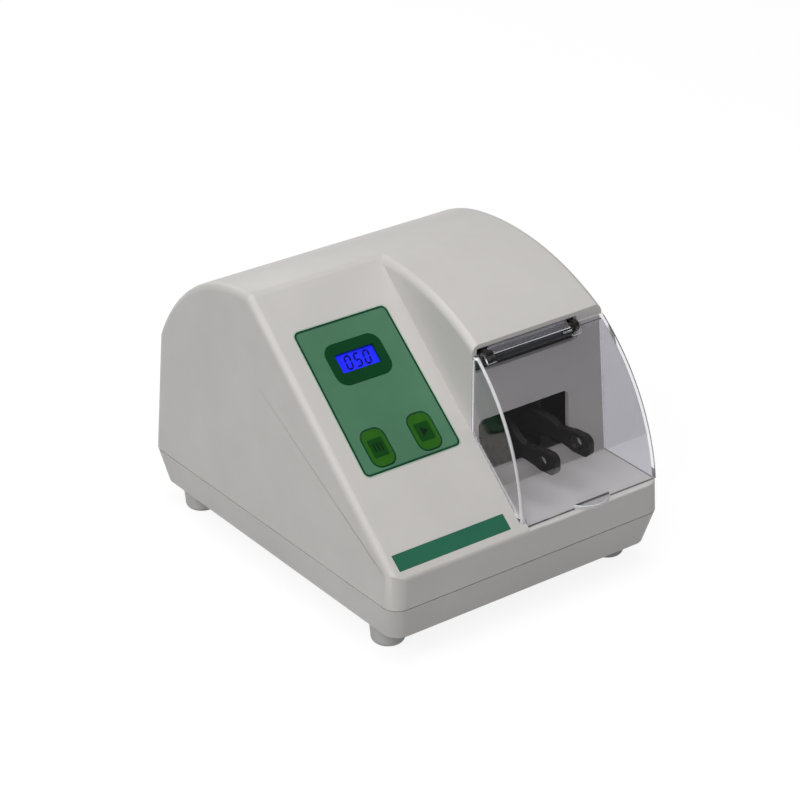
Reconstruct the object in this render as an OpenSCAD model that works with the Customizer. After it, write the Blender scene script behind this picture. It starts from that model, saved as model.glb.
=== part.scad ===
// Bench capsule mixer (dental amalgamator).
// Millimetres, +Z up, front towards -Y, right towards +X, standing on Z = 0.

/* [Case] */
// Width of the case at the seam
body_w = 184; // [170:1:200]
// Depth of the case at the seam
body_d = 230; // [224:1:240]
// Clear height under the tray, set by the feet
foot_h = 13.5; // [10:0.5:18]
// Height of the lower tray
tray_h = 20; // [18:0.5:24]
// Height of the front face above the seam
front_h = 18.2; // [16:0.1:20]
// Height of the crown above the seam
crown_h = 128; // [124:1:134]
// Wall of both mouldings
wall = 2.8; // [2:0.1:3.2]
// Radius of the upright corners
corner_r = 9; // [6:0.5:12]
// Lean of the side faces in degrees
side_draft = 2.4; // [1:0.1:3]
// Lean of the front face in degrees
front_draft = 1.8; // [0.5:0.1:3]
// Lean of the rear face in degrees
rear_draft = 2.9; // [1:0.1:3.5]
// How far the tray's foot line is drawn in at the sides
tray_side_in = 4; // [2:0.5:6]
// How far the tray's foot line is drawn in at front and rear
tray_end_in = 5; // [3:0.5:7]
// Open seam between tray and housing
seam_gap = 0.6; // [0.4:0.1:1]

/* [Console and hood] */
// Slope of the console in degrees
slope_angle = 39; // [37:0.5:41]
// Radius of the hood over its front part
hood_front_r = 156; // [150:1:165]
// Radius of the hood over its rear part
hood_rear_r = 88; // [84:1:92]
// How far the highest line lies behind the middle
crown_y = 16; // [12:1:20]
// How far the rear radius starts behind the highest line
crown_join = 24; // [20:1:28]
// Left wall of the mixing chamber, from the middle
chamber_x = -1.3; // [-3:0.1:1]
// Depth of the chamber's floor, from the front of the case to its rear wall
chamber_depth_y = 46.8; // [45:0.1:49]
// Lean of the chamber's rear wall in degrees
wall_draft = 3.3; // [2:0.1:4]
// Width of the arm window
window_w = 60.8; // [58:0.2:64]
// Height of the arm window
window_h = 32.5; // [30:0.5:36]
// Radius of the window's corners
window_r = 4; // [2:0.5:6]
// Middle of the window, right of the middle of the case
window_x = 33; // [31:0.2:35]
// Width of the hinge slot
slot_w = 69; // [66:0.5:72]
// Height of the hinge slot
slot_h = 14; // [12:0.5:15]

/* [Cover] */
// Outer radius of the clear cover
cover_r = 118.8; // [118:0.1:119.4]
// Wall of the clear cover
cover_t = 2.2; // [1.8:0.1:2.6]
// Hinge line behind the foot of the chamber's rear wall
hinge_y = 2.5; // [2:0.1:2.7]
// Depth of the hinge line under the cover's skin
hinge_depth = 1.8; // [1.5:0.1:1.8]
// Radius of the hinge knuckle
knuckle_r = 4.5; // [4:0.1:5]
// Length of the hinge knuckle
knuckle_len = 53; // [48:1:53]
// Diameter of the hinge pin
hinge_pin_d = 2; // [1.6:0.1:2.2]
// Width of the thumb tab
tab_w = 25; // [20:1:30]
// How far the thumb tab stands out from the cover
tab_reach = 6.6; // [4:0.1:7]

/* [Panel] */
// Width of the panel label at its lower edge
label_w = 63.9; // [60:0.1:66]
// Length of the panel label up the slope
label_len = 89.5; // [86:0.5:92]
// Distance from the slope's front edge to the label
label_start = 57.3; // [54:0.1:60]
// Gap between the label and the chamber wall
label_gap = 11; // [9:0.5:13]
// Thickness of the label
label_t = 0.6; // [0.4:0.1:0.8]
// Width of a key
key_w = 15.2; // [13:0.1:17]
// Length of a key
key_len = 22.4; // [19:0.1:24]
// Radius of a key's corners
key_r = 5.6; // [4:0.1:6.5]
// Travel of a key
key_travel = 0.6; // [0.4:0.1:0.8]
// Width of the display bezel
bezel_w = 36; // [33:0.1:40]
// Length of the display bezel
bezel_len = 25; // [23:0.1:28]
// Radius of the display bezel's corners
bezel_r = 7; // [4:0.5:9]
// Width of the display window
lcd_w = 25.2; // [22:0.1:28]
// Length of the display window
lcd_len = 11.2; // [10:0.1:14]
// Width of the strip label
strip_w = 73; // [68:1:76]
// Height of the strip label
strip_len = 9.4; // [8:0.1:11]

/* [Drive] */
// Height of the drive shaft above the seam
shaft_h = 46.2; // [44:0.1:48]
// Drive shaft behind the front of the case
shaft_front = 91; // [90:0.5:93]
// Diameter of the drive shaft
shaft_d = 8; // [7:0.5:8]
// Middle of the skewed hub, right of the middle
hub_x = 32; // [30:0.5:34]
// Skew of the hub in degrees
hub_tilt = 7; // [5:0.1:8]
// Turn of the skew at rest, in degrees
hub_phase = 26; // [0:1:45]
// Outer diameter of the hub bearing
hub_bearing_d = 28; // [28:1:30]
// Outer diameter of the arm hub
arm_hub_d = 40; // [38:1:42]
// Reach of the fork from the shaft to the capsule line
arm_reach = 66; // [62:0.5:67]
// Gap between the fork's two paddles
fork_gap = 22; // [20:0.5:24]
// Thickness of a fork arm
arm_t = 4; // [3:0.5:4.5]
// Diameter of the hole in each paddle
paddle_hole_d = 5.2; // [4:0.1:6]
// Diameter of the motor
motor_d = 40; // [36:1:40]
// Length of the motor can with its end caps
motor_len = 58; // [54:1:60]
// Outer diameter of the outboard bearing
outboard_d = 22; // [20:1:24]

/* [Feet] */
// Diameter of a foot
foot_d = 20.6; // [18:0.2:22]
// Feet from the middle, sideways
foot_x = 76; // [72:0.5:76]
// Feet from the middle, front and rear
foot_y = 89; // [84:0.5:90]

/* [Hidden] */

$fn = 64;
cut = 0.5;
seat_gap = 0.05;
slide_gap = 0.3;
case_white = [0.85, 0.84, 0.83];
board_green = [0.08, 0.34, 0.2];
steel = [0.72, 0.73, 0.75];
dark = [0.13, 0.12, 0.12];
copper = [0.72, 0.38, 0.2];

half_w = body_w / 2;
half_d = body_d / 2;
seam_z = foot_h + tray_h;
top_z = seam_z + crown_h;
front_z = seam_z + front_h;
front_edge_y = -half_d + front_h * tan(front_draft);
tray_floor_z = foot_h + wall;
wall_foot_y = -half_d + chamber_depth_y;
shaft_y = -half_d + shaft_front;
shaft_z = seam_z + shaft_h;
shaft_r = shaft_d / 2;
window_z = shaft_z - 0.4;

// Hinge line under the hood's front edge
crown_cz = top_z - hood_front_r;
hinge_drop = 4.78;
hinge_line_y = wall_foot_y + hinge_y;
hinge_z = crown_cz + sqrt(pow(hood_front_r, 2) - pow(hinge_line_y - crown_y, 2)) - hinge_drop;

// Middle of the cover's arc, which runs through its front foot and over the hinge line
cover_front_in = 3.22;
cover_foot_y = front_edge_y + cover_front_in;
hinge_r = cover_r - hinge_depth;
chord_y = hinge_line_y - cover_foot_y;
chord_z = hinge_z - front_z;
chord = sqrt(pow(chord_y, 2) + pow(chord_z, 2));
chord_part = (pow(cover_r, 2) - pow(hinge_r, 2) + pow(chord, 2)) / (2 * chord);
chord_off = sqrt(pow(cover_r, 2) - pow(chord_part, 2));
cover_cy = cover_foot_y + (chord_y * chord_part + chord_z * chord_off) / chord;
cover_cz = front_z + (chord_z * chord_part - chord_y * chord_off) / chord;

function wall_y(z) = wall_foot_y + (z - front_z) * tan(wall_draft);
function side_x(z) = half_w - (z - seam_z) * tan(side_draft);
function hood_left_x(z) = chamber_x - wall + 0.4 + (z - front_z - 38) * tan(side_draft);

// Helpers

module along_x(x0, x1) translate([x0, 0, 0]) rotate([90, 0, 90]) linear_extrude(x1 - x0) children();
module along_y(y0, y1) translate([0, y1, 0]) rotate([90, 0, 0]) linear_extrude(y1 - y0) children();
module rod_x(x0, x1, r) translate([x0, 0, 0]) rotate([0, 90, 0]) cylinder(h = x1 - x0, r = r);
module tube_x(x0, x1, r0, r1) difference() {
    rod_x(x0, x1, r1);
    rod_x(x0 - cut, x1 + cut, r0);
}
module box(x0, x1, y0, y1, z0, z1) translate([x0, y0, z0]) cube([x1 - x0, y1 - y0, z1 - z0]);

module rounded_rect(w, h, r) {
    square([w - 2 * r, h], center = true);
    square([w, h - 2 * r], center = true);
    for (sx = [-1, 1], sy = [-1, 1]) translate([sx * (w / 2 - r), sy * (h / 2 - r)]) circle(r);
}

module corners(x, y) for (sx = [-1, 1], sy = [-1, 1]) translate([sx * x, sy * y, 0]) children();

// A pan-head screw: the head stands on z = 0, the shank hangs below it
module screw(d, len, head_d, head_h) {
    translate([0, 0, -len]) cylinder(h = len + cut, d = d);
    difference() {
        cylinder(h = head_h, d = head_d);
        translate([0, 0, head_h * 0.5]) {
            box(-head_d * 0.32, head_d * 0.32, -0.45, 0.45, 0, head_h);
            box(-0.45, 0.45, -head_d * 0.32, head_d * 0.32, 0, head_h);
        }
    }
}

// Frames

module at_shaft() translate([0, shaft_y, shaft_z]) children();
module at_hub() translate([hub_x, shaft_y, shaft_z])
    rotate(a = hub_tilt, v = [0, -sin(hub_phase), cos(hub_phase)]) children();
module on_slope(x, s, n = 0) translate([x, front_edge_y, front_z]) rotate([slope_angle, 0, 0])
    translate([0, s, n]) children();
module on_rear(x, h) translate([x, half_d, seam_z]) rotate([rear_draft, 0, 0])
    translate([0, 0, h]) children();
module at_hinge() translate([0, hinge_line_y, hinge_z]) children();

// Outer form of the case

block_top = seam_z + crown_h + 4;

module body_block(t) hull() for (top = [0, 1], sx = [-1, 1], sy = [-1, 1]) {
    z = top ? block_top : seam_z;
    end_in = (z - seam_z) * tan(sy > 0 ? rear_draft : front_draft);
    translate([sx * (side_x(z) - corner_r), sy * (half_d - end_in - corner_r), z])
        cylinder(r = corner_r - t, h = 0.01, $fn = 40);
}

module tray_block(t, floor_z) hull() for (top = [0, 1], sx = [-1, 1], sy = [-1, 1]) {
    x = half_w - corner_r - (top ? 0 : tray_side_in);
    y = half_d - corner_r - (top ? 0 : tray_end_in);
    translate([sx * x, sy * y, top ? seam_z : floor_z]) cylinder(r = corner_r - t, h = 0.01, $fn = 40);
}

// Height up to which the rear face runs straight
rear_shoulder_z = seam_z + crown_h * 0.45;

// Side view of the crown: two arcs that meet tangent behind the highest line
module crown_profile(t) {
    join_z = crown_cz + sqrt(pow(hood_front_r, 2) - pow(crown_join, 2));
    share = hood_rear_r / hood_front_r;
    intersection() {
        translate([crown_y, crown_cz]) circle(r = hood_front_r - t, $fn = 240);
        translate([-body_d, 0]) square([body_d + crown_y + crown_join + 0.01, 2 * top_z]);
    }
    intersection() {
        translate([crown_y + crown_join * (1 - share), join_z - (join_z - crown_cz) * share])
            circle(r = hood_rear_r - t, $fn = 180);
        translate([crown_y + crown_join, 0]) square([body_d, 2 * top_z]);
    }
    square([half_d, rear_shoulder_z - t]);
}

// Everything under the sloping console, inset by t
module under_slope(t) {
    y0 = front_edge_y + t * sin(slope_angle);
    z0 = front_z - t * cos(slope_angle);
    polygon([[y0 - 60 * cos(slope_angle), z0 - 60 * sin(slope_angle)],
        [y0 + 300 * cos(slope_angle), z0 + 300 * sin(slope_angle)], [body_d, 0], [-half_d, 0]]);
}

module low_block(t) translate([-body_d, 0]) square([2 * body_d, front_z - t]);

module behind_wall(t) polygon([[wall_y(0) + t, 0], [body_d, 0], [body_d, 2 * top_z],
    [wall_y(2 * top_z) + t, 2 * top_z]]);

module console_profile(t) {
    intersection() {
        crown_profile(t);
        under_slope(t);
    }
    low_block(t);
}

// The half space to the right of the hood's leaning left wall, inset by t
module hood_side(t) along_y(-body_d, body_d) polygon([[hood_left_x(0) + t, 0], [body_w, 0],
    [body_w, 2 * top_z], [hood_left_x(2 * top_z) + t, 2 * top_z]]);

module case_form(t) intersection() {
    body_block(t);
    union() {
        along_x(-half_w, chamber_x - t) console_profile(t);
        intersection() {
            hood_side(t);
            along_x(chamber_x - 2 * wall, half_w) intersection() {
                crown_profile(t);
                behind_wall(t);
            }
        }
        along_x(chamber_x - 2 * wall, half_w) low_block(t);
        along_x(chamber_x - 2 * wall, chamber_x + 2 * wall) intersection() {
            crown_profile(t);
            under_slope(t);
            behind_wall(t);
        }
    }
}

// Case mouldings

boss_x = 80;
boss_y = 104;
boss_r = 4.5;
case_screw_d = 3;
counterbore_d = 7;
counterbore_h = 4;
lip_h = 4;
lip_t = 1.2;
foot_screw_d = 4;
housing_boss_h = front_h - wall + 0.6;
isolator_d = 12;
isolator_h = 8;
plate_x0 = -72;
plate_x1 = 78;
plate_y0 = shaft_y - 32;
plate_y1 = shaft_y + 46;
plate_edge = 10;
plate_edge_y = 8;
isolator_at = [for (x = [plate_x0 + plate_edge, plate_x1 - plate_edge],
    y = [plate_y0 + plate_edge_y, plate_y1 - plate_edge]) [x, y]];
plate_t = 2.5;
plate_z = tray_floor_z + isolator_h;
plate_top_z = plate_z + plate_t;
board_t = 1.6;
main_board_x = 28;
main_board_w = 104;
board_behind_plate = 10;
board_rear_in = 23;
board_over_floor = 8;
main_board_y0 = plate_y1 + board_behind_plate;
main_board_y1 = half_d - board_rear_in;
main_board_d = main_board_y1 - main_board_y0;
main_board_y = (main_board_y0 + main_board_y1) / 2;
main_board_z = tray_floor_z + board_over_floor;
post_r = 3.5;
post_in = 5;
board_screw_d = 2.5;
board_head_d = 5;
board_head_h = 1.6;
vent_pitch = 6;
vent_w = 2.4;
tray_vent_len = 40;
case_hole_d = case_screw_d + 2 * seat_gap;

module board_posts_at() translate([main_board_x, main_board_y, 0])
    corners(main_board_w / 2 - post_in, main_board_d / 2 - post_in) children();

module tray_vents() for (i = [0:7]) translate([-50 + i * vent_pitch * 1.5, shaft_y, 0])
    linear_extrude(tray_floor_z + cut) rounded_rect(vent_w, tray_vent_len, vent_w / 2 - 0.01);

module lower_tray() color(case_white) difference() {
    union() {
        difference() {
            tray_block(0, foot_h);
            tray_block(wall, tray_floor_z);
            box(-body_w, body_w, -body_d, body_d, seam_z - seam_gap / 2, seam_z + 1);
        }
        difference() {
            body_lip(seam_gap + 1, seam_z + lip_h);
            body_lip(seam_gap + 1 + lip_t, seam_z + lip_h + 1);
        }
        corners(boss_x, boss_y) translate([0, 0, foot_h + 1]) cylinder(h = tray_h - 1, r = boss_r);
        board_posts_at() translate([0, 0, foot_h + 1])
            cylinder(h = main_board_z - foot_h - 1, r = post_r);
    }
    corners(boss_x, boss_y) {
        translate([0, 0, foot_h - cut]) cylinder(h = counterbore_h + cut, d = counterbore_d);
        cylinder(h = seam_z + 1, d = case_hole_d);
    }
    corners(foot_x, foot_y) cylinder(h = tray_floor_z + cut, d = foot_screw_d + 2 * seat_gap);
    board_posts_at() translate([0, 0, tray_floor_z])
        cylinder(h = 20, d = board_screw_d + 2 * seat_gap);
    for (p = isolator_at) translate([p.x, p.y, 0])
        cylinder(h = tray_floor_z + cut, d = chassis_screw_d + 2 * seat_gap);
    tray_vents();
}

// The rim that stands inside the housing's skirt, inset by t up to height z1
module body_lip(t, z1) intersection() {
    union() {
        tray_block(t, tray_floor_z);
        body_block(t);
    }
    box(-body_w, body_w, -body_d, body_d, seam_z - 3, z1);
}

// Hinge slot below the hood's front edge
slot_over = 3.89;
slot_z1 = hinge_z + slot_over;
slot_x0 = hood_left_x(slot_z1) + wall;
slot_x1 = slot_x0 + slot_w;

// Arm window and hinge slot through the chamber's rear wall
module chamber_openings() {
    translate([window_x, 0, window_z]) along_y(wall_foot_y - 6, wall_foot_y + 12)
        rounded_rect(window_w, window_h, window_r);
    box(slot_x0, slot_x1, wall_foot_y - 4, wall_foot_y + 13, slot_z1 - slot_h, slot_z1);
}

label_x1 = chamber_x - label_gap;
label_x0 = label_x1 - label_w;
label_s1 = label_start + label_len;
label_lean = label_len * sin(slope_angle) * tan(side_draft);
label_r = 4;
bezel_in = 32.1;
bezel_up = 64;
lcd_up = 0.4;
set_key_in = 47.8;
start_key_in = 17.4;
key_up = 14.3;
strip_in = 46.8;
strip_s = 9.6;
strip_recess = 0.3;
strip_t = 0.4;
bezel_x = label_x1 - bezel_in;
bezel_s = label_start + bezel_up;
lcd_s = bezel_s + lcd_up;
key_x = [label_x1 - set_key_in, label_x1 - start_key_in];
key_s = label_start + key_up;
strip_x = chamber_x - strip_in;

module label_outline(t) hull() {
    for (x = [label_x0, label_x1], s = [label_start, label_s1]) {
        lean = (x < label_x1 && s > label_start) ? label_lean : 0;
        side = x < label_x1 ? 1 : -1;
        up = s > label_start ? -1 : 1;
        translate([x + lean + side * label_r, s + up * label_r]) circle(label_r - t, $fn = 24);
    }
}

module key_outline(t) rounded_rect(key_w - 2 * t, key_len - 2 * t, key_r - t);

module panel_cuts() {
    on_slope(0, 0, -label_t) linear_extrude(2) label_outline(-slide_gap / 2);
    on_slope(strip_x, strip_s, -strip_recess) linear_extrude(2)
        square([strip_w + 0.2, strip_len + 0.2], center = true);
    on_slope(bezel_x, bezel_s, -wall - 1) linear_extrude(wall + 2)
        rounded_rect(bezel_w + 2 * seat_gap, bezel_len + 2 * seat_gap, bezel_r);
    for (x = key_x) on_slope(x, key_s, -wall - 1) linear_extrude(wall + 2) key_outline(-slide_gap);
}

display_board_t = 1.6;
lcd_depth = 6;
display_board_n = -wall - lcd_depth;
display_board_w = 66;
display_board_len = 84;
display_board_in = 31;
display_board_up = 43;
display_board_x = label_x1 - display_board_in;
display_board_s = label_start + display_board_up;
display_post_in = 4;
display_post_r = 3;
bezel_rise = 0.4;
lcd_side = 4;
lcd_end = 6;
lcd_face = 1.4;

module display_posts_at() for (sx = [-1, 1], ss = [-1, 1])
    on_slope(display_board_x + sx * (display_board_w / 2 - display_post_in),
        display_board_s + ss * (display_board_len / 2 - display_post_in), display_board_n) children();

inlet_x = -half_w + 44;
inlet_h = 32;
inlet_w = 54;
inlet_tall = 34;
inlet_flange_t = 2.5;
inlet_body_w = 30;
inlet_body_h = 29;
inlet_body_d = 24;
inlet_screw_x = 21;
rocker_x = 10;
rocker_h = 32;
rocker_w = 13;
rocker_tall = 19.4;
rocker_flange_w = 19;
rocker_flange_h = 25;
rocker_flange_t = 2;
rocker_body_d = 18;
rear_vent_w = 46;
rear_vent_x = half_w - 36;

module rear_cuts() {
    on_rear(inlet_x, inlet_h) along_y(-wall - 2, 2) rounded_rect(inlet_body_w + 0.2, inlet_body_h + 0.2, 2);
    on_rear(inlet_x, inlet_h) for (s = [-1, 1]) translate([s * inlet_screw_x, 0, 0])
        along_y(-wall - 2, 2) circle(d = 3 + 2 * seat_gap);
    on_rear(rocker_x, rocker_h) along_y(-wall - 2, 2)
        square([rocker_w + 2.2, rocker_tall + 2.2], center = true);
    for (i = [0:6]) on_rear(rear_vent_x, 16 + i * vent_pitch) along_y(-wall - 2, 2)
        rounded_rect(rear_vent_w, vent_w, vent_w / 2 - 0.01);
}

module housing_bosses() intersection() {
    body_block(1);
    union() corners(boss_x, boss_y) {
        translate([0, 0, seam_z]) cylinder(h = housing_boss_h, r = boss_r);
    }
}

module housing_ribs() intersection() {
    body_block(1);
    for (sx = [-1, 1], sy = [-1, 1]) {
        x0 = sx > 0 ? boss_x + 3 : -half_w;
        box(x0, x0 + half_w - boss_x - 3, sy * boss_y - 1, sy * boss_y + 1,
            seam_z + lip_h + 1, seam_z + housing_boss_h);
    }
}

module upper_housing() color(case_white) difference() {
    union() {
        difference() {
            case_form(0);
            case_form(wall);
            box(-body_w, body_w, -body_d, body_d, 0, seam_z + seam_gap / 2);
            intersection() {
                body_block(1.5);
                box(-body_w, body_w, -body_d, body_d, seam_z - 1, seam_z + lip_h + 0.2);
            }
        }
        housing_bosses();
        housing_ribs();
        display_posts_at() cylinder(h = lcd_depth + 0.6, r = display_post_r);
    }
    corners(boss_x, boss_y) translate([0, 0, seam_z - 1])
        cylinder(h = housing_boss_h - 1, d = case_screw_d + 2 * seat_gap);
    display_posts_at() translate([0, 0, -1]) cylinder(h = lcd_depth, d = board_screw_d + 2 * seat_gap);
    chamber_openings();
    panel_cuts();
    rear_cuts();
}

// Feet and case screws

foot_recess_d = 9;
foot_recess_h = 6;
foot_edge_r = 3;
foot_taper = 1;

module feet() color([0.78, 0.78, 0.77]) corners(foot_x, foot_y) difference() {
    rotate_extrude() {
        r = foot_d / 2 - foot_taper;
        polygon([[0, 0], [r - foot_edge_r, 0], [r - foot_edge_r, foot_edge_r], [r, foot_edge_r],
            [foot_d / 2, foot_h], [0, foot_h]]);
        intersection() {
            translate([r - foot_edge_r, foot_edge_r]) circle(foot_edge_r);
            square([r, foot_edge_r]);
        }
    }
    translate([0, 0, -cut]) cylinder(h = foot_recess_h + cut, d = foot_recess_d);
    cylinder(h = foot_h + cut, d = foot_screw_d + 2 * seat_gap);
}

module foot_screws() color(steel) corners(foot_x, foot_y) translate([0, 0, foot_recess_h])
    rotate([180, 0, 0]) screw(foot_screw_d, foot_h + wall - foot_recess_h - 0.2, 8, 3);

module case_screws() color(steel) corners(boss_x, boss_y) translate([0, 0, foot_h + counterbore_h])
    rotate([180, 0, 0]) screw(case_screw_d, tray_h - counterbore_h + housing_boss_h - 3, 6, 2.4);

// Front panel

module panel_overlay() color([0.3, 0.47, 0.36]) difference() {
    on_slope(0, 0, -label_t) linear_extrude(label_t) label_outline(0);
    on_slope(bezel_x, bezel_s, -2) linear_extrude(4)
        rounded_rect(bezel_w + 2 * seat_gap, bezel_len + 2 * seat_gap, bezel_r);
    for (x = key_x) on_slope(x, key_s, -2) linear_extrude(4) key_outline(-slide_gap);
}

module lcd_bezel() color([0.03, 0.29, 0.09]) on_slope(bezel_x, bezel_s, -wall) difference() {
    linear_extrude(wall + bezel_rise) rounded_rect(bezel_w, bezel_len, bezel_r - seat_gap);
    translate([0, lcd_up, -1]) linear_extrude(wall + 3) square([lcd_w, lcd_len], center = true);
}

module lcd_module() color([0.08, 0.12, 0.9]) on_slope(bezel_x, lcd_s, -wall - lcd_depth) {
    linear_extrude(lcd_depth) square([lcd_w + 2 * lcd_side, lcd_len + 2 * lcd_end], center = true);
    linear_extrude(lcd_depth + lcd_face) square([lcd_w - 0.2, lcd_len - 0.2], center = true);
}

module strip_label() color([0.18, 0.45, 0.37]) on_slope(strip_x, strip_s, -strip_recess)
    linear_extrude(strip_t) square([strip_w, strip_len], center = true);

module display_board() color(board_green) difference() {
    on_slope(display_board_x, display_board_s, display_board_n - display_board_t)
        linear_extrude(display_board_t) square([display_board_w, display_board_len], center = true);
    display_posts_at() translate([0, 0, -display_board_t - cut])
        cylinder(h = display_board_t + 2 * cut, d = board_screw_d + 2 * seat_gap);
}

display_screw_grip = 4;
board_screw_grip = 7;

module board_screws() color(steel) {
    display_posts_at() translate([0, 0, -display_board_t]) rotate([180, 0, 0])
        screw(board_screw_d, display_board_t + display_screw_grip, board_head_d, board_head_h);
    board_posts_at() translate([0, 0, main_board_z + board_t])
        screw(board_screw_d, board_t + board_screw_grip, board_head_d, board_head_h);
}

switch_w = 6;
switch_h = 3.6;
plunger_r = 1.6;

module tact_switches() color(dark) for (x = key_x) on_slope(x, key_s, display_board_n) difference() {
    linear_extrude(switch_h) square(switch_w, center = true);
    translate([0, 0, switch_h - 2.4]) cylinder(h = 3, r = plunger_r + slide_gap);
}

// A key: printed cap with round corners, raised pad, stem and plunger
key_cap_t = 1.4;
key_pad_w = 9.4;
key_pad_len = 10.6;
key_pad_t = 0.3;

module key(x, tint) color(tint) on_slope(x, key_s, 0) {
    translate([0, 0, -key_cap_t]) linear_extrude(key_cap_t) key_outline(0);
    linear_extrude(key_pad_t) square([key_pad_w, key_pad_len], center = true);
    translate([0, 0, display_board_n + switch_h - 2.4 + key_travel + 0.4])
        cylinder(h = -display_board_n - switch_h + 2.4 - key_travel - 0.4 - key_cap_t + 0.2, r = plunger_r);
}

module set_key() key(key_x[0], [0.2, 0.42, 0.03]);
module start_key() key(key_x[1], [0.2, 0.42, 0.03]);

ribbon_w = 14;
ribbon_t = 0.8;
ribbon_off = 8;
ribbon_down = 10;
ribbon_in = 6;
ribbon_end_y = main_board_y0 + ribbon_in;
ribbon_x = display_board_x + ribbon_off;

// Flat cable from the display board down behind the motor to the main board's height
module display_ribbon() color([0.62, 0.62, 0.64]) {
    a = slope_angle;
    start_s = display_board_s + display_board_len / 2 - ribbon_down;
    start_n = display_board_n - display_board_t;
    y0 = front_edge_y + start_s * cos(a) - start_n * sin(a);
    z0 = front_z + start_s * sin(a) + start_n * cos(a);
    y1 = ribbon_end_y;
    z1 = main_board_z + board_t;
    t = ribbon_t;
    bend = 5;
    across = t * cos(a);
    along = t * sin(a);
    along_x(ribbon_x - ribbon_w / 2, ribbon_x + ribbon_w / 2)
        polygon([[y0, z0], [y0 + bend * sin(a), z0 - bend * cos(a)], [y1 - t, z0 - 2 * bend],
            [y1 - t, z1], [y1, z1], [y1, z0 - 2 * bend + t],
            [y0 + across + bend * sin(a), z0 + along - bend * cos(a)], [y0 + across, z0 + along]]);
}

// Power side

module main_board() color(board_green) difference() {
    translate([main_board_x, main_board_y, main_board_z]) linear_extrude(board_t)
        square([main_board_w, main_board_d], center = true);
    board_posts_at() cylinder(h = top_z, d = board_screw_d + 2 * seat_gap);
}

on_board_z = main_board_z + board_t;
core_w = 42;
core_d = 36;
core_h = 33;
core_leg = 7;
core_x = -half_w + 36;
core_behind_ribbon = 8;
core_y = ribbon_end_y + core_behind_ribbon + core_d / 2;

module at_core() translate([core_x, core_y, tray_floor_z]) children();

module transformer_core() color([0.35, 0.36, 0.38]) at_core() difference() {
    box(-core_w / 2, core_w / 2, -core_d / 4, core_d / 4, 0, core_h);
    for (s = [-1, 1]) translate([s * (core_w / 4), 0, 0])
        box(-core_leg / 2, core_leg / 2, -core_d, core_d, core_leg, core_h - core_leg);
}

module transformer_winding() color(copper) at_core() difference() {
    reach = core_w / 4 + core_leg / 2 - slide_gap;
    box(-reach, reach, -core_d / 2, core_d / 2, core_leg + seat_gap, core_h - core_leg - slide_gap);
    middle = core_w / 4 - core_leg / 2 + seat_gap;
    box(-middle, middle, -core_d / 4 - seat_gap, core_d / 4 + seat_gap, 0, core_h);
}

capacitor_h = 26;
capacitor_d = 16;
capacitor_x = [-8, 12];
capacitor_back = 12;

module capacitors() color([0.12, 0.14, 0.2]) for (x = capacitor_x)
    translate([x, main_board_y + capacitor_back, on_board_z]) difference() {
        cylinder(h = capacitor_h, d = capacitor_d);
        translate([0, 0, capacitor_h - 1.4]) difference() {
            cylinder(h = 3, r = capacitor_d / 2 - 0.8);
            translate([0, 0, -cut]) cylinder(h = 4, r = capacitor_d / 2 - 1.8);
        }
    }

relay_x = 60;
relay_w = 28;
relay_d = 13;
relay_h = 16;

module relay() color([0.1, 0.25, 0.45]) translate([relay_x, main_board_y - 6, on_board_z])
    linear_extrude(relay_h) rounded_rect(relay_w, relay_d, 1);

module power_inlet() color(dark) on_rear(inlet_x, inlet_h) difference() {
    union() {
        along_y(0, inlet_flange_t) rounded_rect(inlet_w, inlet_tall, 4);
        along_y(-inlet_body_d, 0.1) rounded_rect(inlet_body_w, inlet_body_h, 2);
    }
    translate([0, 0, 4.5]) along_y(-17, 5) polygon([[-12, -7.8], [12, -7.8], [12, 4], [8.2, 7.8],
        [-8.2, 7.8], [-12, 4]]);
    translate([0, 0, -9]) along_y(-20, 5) square([22.4, 7.4], center = true);
    for (s = [-1, 1]) translate([s * inlet_screw_x, 0, 0])
        along_y(-1, inlet_flange_t + 1) circle(d = 3 + 2 * seat_gap);
}

module inlet_pins() color(steel) on_rear(inlet_x, inlet_h + 4.5) for (x = [-7, 0, 7])
    translate([x, 0, x == 0 ? 2 : -2]) along_y(-17, -3) square([2, 4], center = true);

module inlet_screws() color(steel) on_rear(inlet_x, inlet_h) for (s = [-1, 1])
    translate([s * inlet_screw_x, inlet_flange_t, 0]) rotate([-90, 0, 0]) screw(3, 9, 5.6, 1.8);

// Fuse drawer: slides out of the lower pocket of the inlet
module fuse_drawer() color(dark) on_rear(inlet_x, inlet_h - 9) difference() {
    union() {
        along_y(-19, inlet_flange_t) square([22, 7], center = true);
        along_y(inlet_flange_t - 0.1, inlet_flange_t + 0.8) square([12, 2], center = true);
    }
    along_y(-17, -3) square([20, 5], center = true);
    box(-10, 10, -17, -3, 0, 6);
}

rocker_pin_r = 1.2;
rocker_r = rocker_tall / 2 - 0.4;
rocker_throw = 12;
rocker_pivot_y = -4.9;

module rocker_bezel() color(dark) on_rear(rocker_x, rocker_h) difference() {
    union() {
        along_y(0, rocker_flange_t) rounded_rect(rocker_flange_w, rocker_flange_h, 2);
        along_y(-rocker_body_d, 0.1) square([rocker_w + 2, rocker_tall + 2], center = true);
    }
    along_y(rocker_pivot_y - rocker_r - 1, rocker_flange_t + 1)
        square([rocker_w, rocker_tall], center = true);
    translate([0, rocker_pivot_y, 0]) rod_x(-rocker_w, rocker_w, rocker_pin_r + seat_gap);
}

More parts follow.
